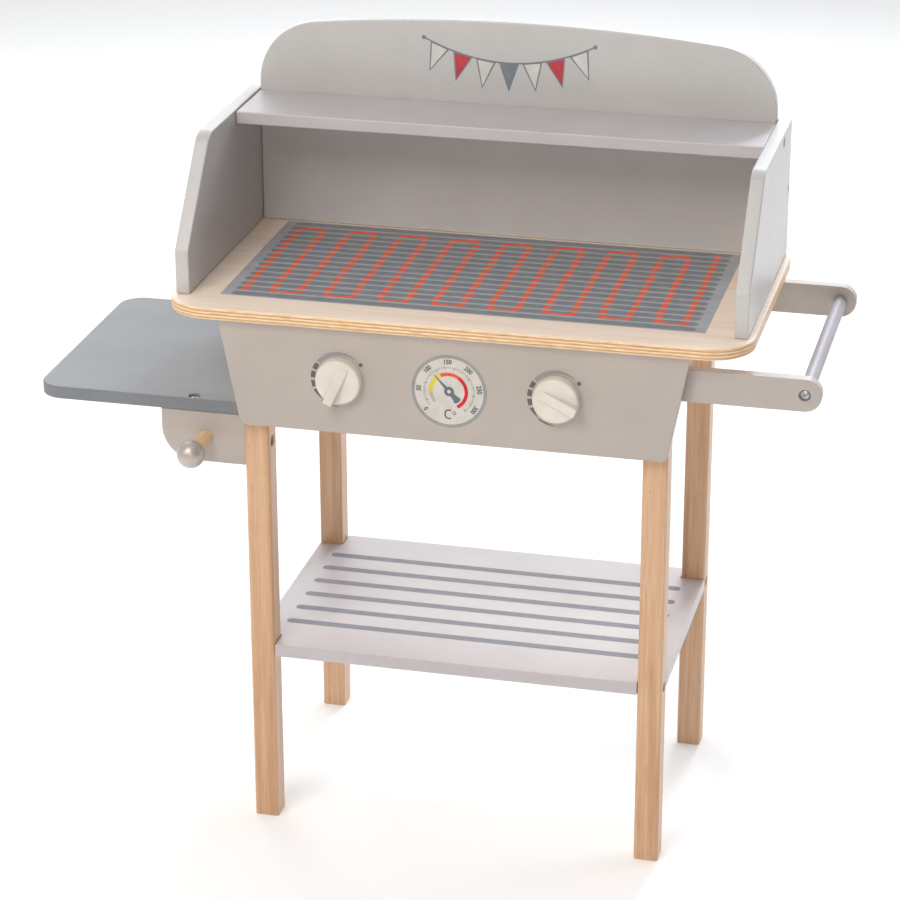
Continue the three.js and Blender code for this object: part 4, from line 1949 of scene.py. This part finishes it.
@dataclass
class PushHandle:
    """Two arms with round ends and the bar between them."""

    edge: float = 1.5
    end_flat: float = 0.02  # left between the two quarter rounds of an arm's end
    bar_edge: float = 0.6

    def arm(self, depth: Depth) -> Piece:
        """Builds one arm, its free end a half circle.

        Args:
            depth: front or rear.

        Returns:
            The arm.
        """
        name = f"handle_arm_{depth.value}"
        board = from_box(name, f"{name}_board")
        low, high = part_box(name)
        reach = (high.z - low.z) / 2 / MM - self.end_flat
        round_corners(board, Axis.Y, lambda spot: spot.x > high.x - MM, reach, 12)
        ease(board, self.edge)
        SCREWS.make_room(board, f"handle_screw_{depth.value}", -outward(depth))
        smooth(board)
        return dress(board, GREY_PAINT_SHADED_TONE, name)

    def bar(self) -> Piece:
        """Turns the bar, with its ends eased.

        Returns:
            The bar.
        """
        bar = rod("handle_bar_turned", *ends_of("handle_bar"), half_width_of("handle_bar"), 64)
        ease(bar, self.bar_edge)
        smooth(bar, 40)
        return dress(bar, BAR_SILVER, "handle_bar")

    def build(self) -> None:
        """Builds the whole handle."""
        for depth in Depth:
            self.arm(depth)
            SCREWS.drive(f"handle_screw_{depth.value}", -outward(depth), turn=22)
            SCREWS.drive(f"arm_screw_{depth.value}", Axis.X.vector(), turn=60)
        self.bar()


@dataclass
class Knob:
    """One control knob: a disc with a round rim and a raised pointer across it."""

    side: Side
    turn: float
    disc: float = 9.0
    draft: float = 1.0
    rim: float = 2.4
    grip_width: float = 11.5
    grip_tail: float = 18.5
    grip_gap: float = 0.25
    grip_root: float = 2.0
    grip_round: float = 1.9
    grip_shares: tuple[float, ...] = (0.80, 1.0, 0.965)
    tail_rise: float = 0.4

    def disc_piece(self, name: str, middle: Vector, back: float, radius: float) -> Piece:
        """Moulds the disc, whose wall tapers so that it leaves its mould.

        Args:
            name: the piece's name.
            middle: the middle of the knob, in metres.
            back: where its back lies along Y.
            radius: the radius of its back, in millimetres.

        Returns:
            The disc.
        """
        start = Vector((middle.x, back, middle.z))
        face = start - Axis.Y.vector(self.disc * MM)
        knob = rod(name, start, face, radius, 96)
        near = face.y + WELD
        with editing(knob):
            narrow = 1 - self.draft / radius
            pick(knob, "faces", lambda part: part.normal.y < -ALIKE)
            bpy.ops.transform.resize(value=(narrow, 1.0, narrow))
            pick(knob, "edges", lambda line: all(end.co.y < near for end in line.verts))
            bpy.ops.mesh.bevel(offset=self.rim * MM, segments=7, affect="EDGES")
        return knob

    def grip(self, middle: Vector, top: float, face: float, radius: float) -> Piece:
        """Moulds the grip, which narrows to its front and runs out at its tail.

        Args:
            middle: the middle of the knob, in metres.
            top: where the grip's front lies along Y.
            face: where the disc's face lies along Y.
            radius: the radius of the disc's back, in millimetres.

        Returns:
            The grip, standing upright.
        """
        half = self.grip_width / 2 * MM
        head, tail = (radius - self.grip_gap) * MM, self.grip_tail * MM
        grip = block(
            "grip",
            Vector((middle.x - half, top, middle.z - head)),
            Vector((middle.x + half, face + self.grip_root * MM, middle.z + tail)),
        )
        front = face - MM
        with editing(grip):
            pick(grip, "faces", lambda part: part.normal.y < -ALIKE)
            bpy.ops.transform.resize(value=self.grip_shares)
            pick(grip, "verts", lambda spot: spot.co.y < front and spot.co.z > middle.z)
            sink = face - top - self.tail_rise * MM
            bpy.ops.transform.translate(value=(0, sink, 0))
        ease(grip, self.grip_round, 5)
        return grip

    def build(self) -> None:
        """Moulds the knob, puts its screw behind the panel and gives its washer a zinc finish."""
        node = f"knob_{self.side.value}"
        low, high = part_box(node)
        middle, radius = centre_of(node), half_width_of(node)
        knob = self.disc_piece(f"{node}_cream", middle, high.y, radius)
        grip = self.grip(middle, low.y, high.y - self.disc * MM, radius)
        join_solids(knob, grip, "UNION")
        clean(knob)
        about = Matrix.Translation(middle)
        spin = Matrix.Rotation(math.radians(self.turn), 4, "Y")
        place(knob, about @ spin @ about.inverted())
        smooth(knob, 32)
        dress(knob, CREAM_ABS, node, node)
        SCREWS.drive(f"knob_screw_{self.side.value}", outward(Depth.FRONT), node)
        coat(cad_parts[f"knob_washer_{self.side.value}"], ZINC)


# The studio


@dataclass
class Studio:
    """The camera at the photograph's place, a white floor and soft lights."""

    eye: tuple[float, ...] = (0.69374, -2.81191, 1.57124)
    right: tuple[float, ...] = (0.97143938, 0.23728239, -0.00160898)
    up: tuple[float, ...] = (-0.08883544, 0.36996513, 0.92478866)
    lens: float = 122.5
    sensor: float = 36.0
    floor_size: float = 40.0
    aim: tuple[float, ...] = (0.0, 0.0, 0.45)
    lamps: tuple[tuple[str, tuple[float, ...], float, float, str], ...] = (
        ("back_key", (0.4, 2.5, 2.5), 0.5, 36.0, "#E8F4FF"),
        ("back_left", (-1.8, 2.4, 1.8), 1.2, 14.4, "#FFFFFF"),
        ("back_soft", (0.2, 3.0, 1.4), 2.0, 4.5, "#FFFFFF"),
        ("rear_right_soft", (2.4, 1.5, 1.4), 1.4, 17.0, "#FFF4F2"),
        ("front_key", (0.5, -3.0, 1.4), 0.5, 11.0, "#FFF8EE"),
        ("high_front", (-0.6, -2.0, 2.6), 1.2, 39.0, "#FFF7EE"),
        ("front_left_soft", (-1.7, -2.55, 1.9), 1.2, 11.0, "#FFF6EC"),
        ("front_right_soft", (1.8, -2.4, 1.5), 1.2, 1.5, "#FFFFFF"),
        ("top_soft", (0.0, 0.0, 3.0), 2.0, 7.5, "#E2EFFF"),
    )  # name, place in metres, side in metres, power in watts, colour
    walls: tuple[tuple[Axis, float, float], ...] = (
        (Axis.X, -1.0, 0.625),
        (Axis.Y, 1.0, 1.8),
        (Axis.Z, 1.0, 0.3),
    )  # the direction of a wall, its sign, and its brightness

    def camera(self) -> None:
        """Places the camera."""
        data = bpy.data.cameras.new("camera")
        data.lens = self.lens
        data.sensor_width = self.sensor
        data.clip_end = 100.0
        data.dof.use_dof = False
        holder = bpy.data.objects.new("camera", data)
        bpy.context.collection.objects.link(holder)
        right, up = Vector(self.right), Vector(self.up)
        turn = Matrix((right, up, right.cross(up))).transposed().to_4x4()
        holder.matrix_world = Matrix.Translation(self.eye) @ turn
        bpy.context.scene.camera = holder

    def floor(self) -> None:
        """Lays the white paper that the object stands on."""
        leave_selection()
        bpy.ops.mesh.primitive_plane_add(size=self.floor_size)
        paper = named(bpy.context.object, "studio_floor")
        coat(paper, StudioPaper("white background paper"))

    def lamp(
        self, name: str, spot: tuple[float, ...], size: float, power: float, colour: str
    ) -> None:
        """Hangs one square soft light that looks at the object.

        Args:
            name: the light's name.
            spot: where it hangs, in metres.
            size: the length of its side, in metres.
            power: its power, in watts.
            colour: its sRGB hex code.
        """
        data = bpy.data.lights.new(name, "AREA")
        data.shape = "SQUARE"
        data.size = size
        data.energy = power
        data.color = linear(colour)[:3]
        holder = bpy.data.objects.new(name, data)
        bpy.context.collection.objects.link(holder)
        holder.location = spot
        holder.rotation_mode = "QUATERNION"
        run = Vector(self.aim) - Vector(spot)
        holder.rotation_quaternion = run.to_track_quat("-Z", "Y")

    def surroundings(self) -> None:
        """Lights the white room, each wall with a brightness of its own."""
        world = bpy.data.worlds.new("white surroundings")
        bpy.context.scene.world = world
        world.use_nodes = True
        sky = world.node_tree.nodes["Background"]
        sky.inputs["Color"].default_value = linear("#FFFFFF")
        where = add_node(world, "ShaderNodeTexCoord").outputs["Generated"]
        part = add_node(world, "ShaderNodeSeparateXYZ", {"Vector": where})
        total: Socket | float = 0.0
        for axis, sign, strength in self.walls:  # strength x max(0, facing) squared, added up
            value = part.outputs[axis.name]
            for operation, inputs in (
                ("MULTIPLY", {1: sign}),
                ("MAXIMUM", {1: 0.0}),
                ("POWER", {1: 2.0}),
                ("MULTIPLY_ADD", {1: strength, 2: total}),
            ):
                step = add_node(
                    world, "ShaderNodeMath", {0: value, **inputs}, operation=operation
                )
                value = step.outputs[0]
            total = value
        world.node_tree.links.new(total, sky.inputs["Strength"])

    def build(self) -> None:
        """Sets up the camera, the floor, the lights and the white surroundings."""
        self.camera()
        self.floor()
        for lamp in self.lamps:
            self.lamp(*lamp)
        self.surroundings()


def main() -> None:
    """Builds the studio and every sub-assembly in order."""
    logging.basicConfig(level=logging.INFO, format="%(message)s")
    bpy.context.scene.view_settings.view_transform = "Standard"
    for part in (
        Studio(),
        Stand(),
        Panels(),
        Worktop(),
        Hood(),
        SideTable(),
        PushHandle(),
        Knob(Side.LEFT, 24.0),
        Knob(Side.RIGHT, -69.5),
    ):
        part.build()
    SCREWS.put_away()


if __name__ == "__main__":
    main()
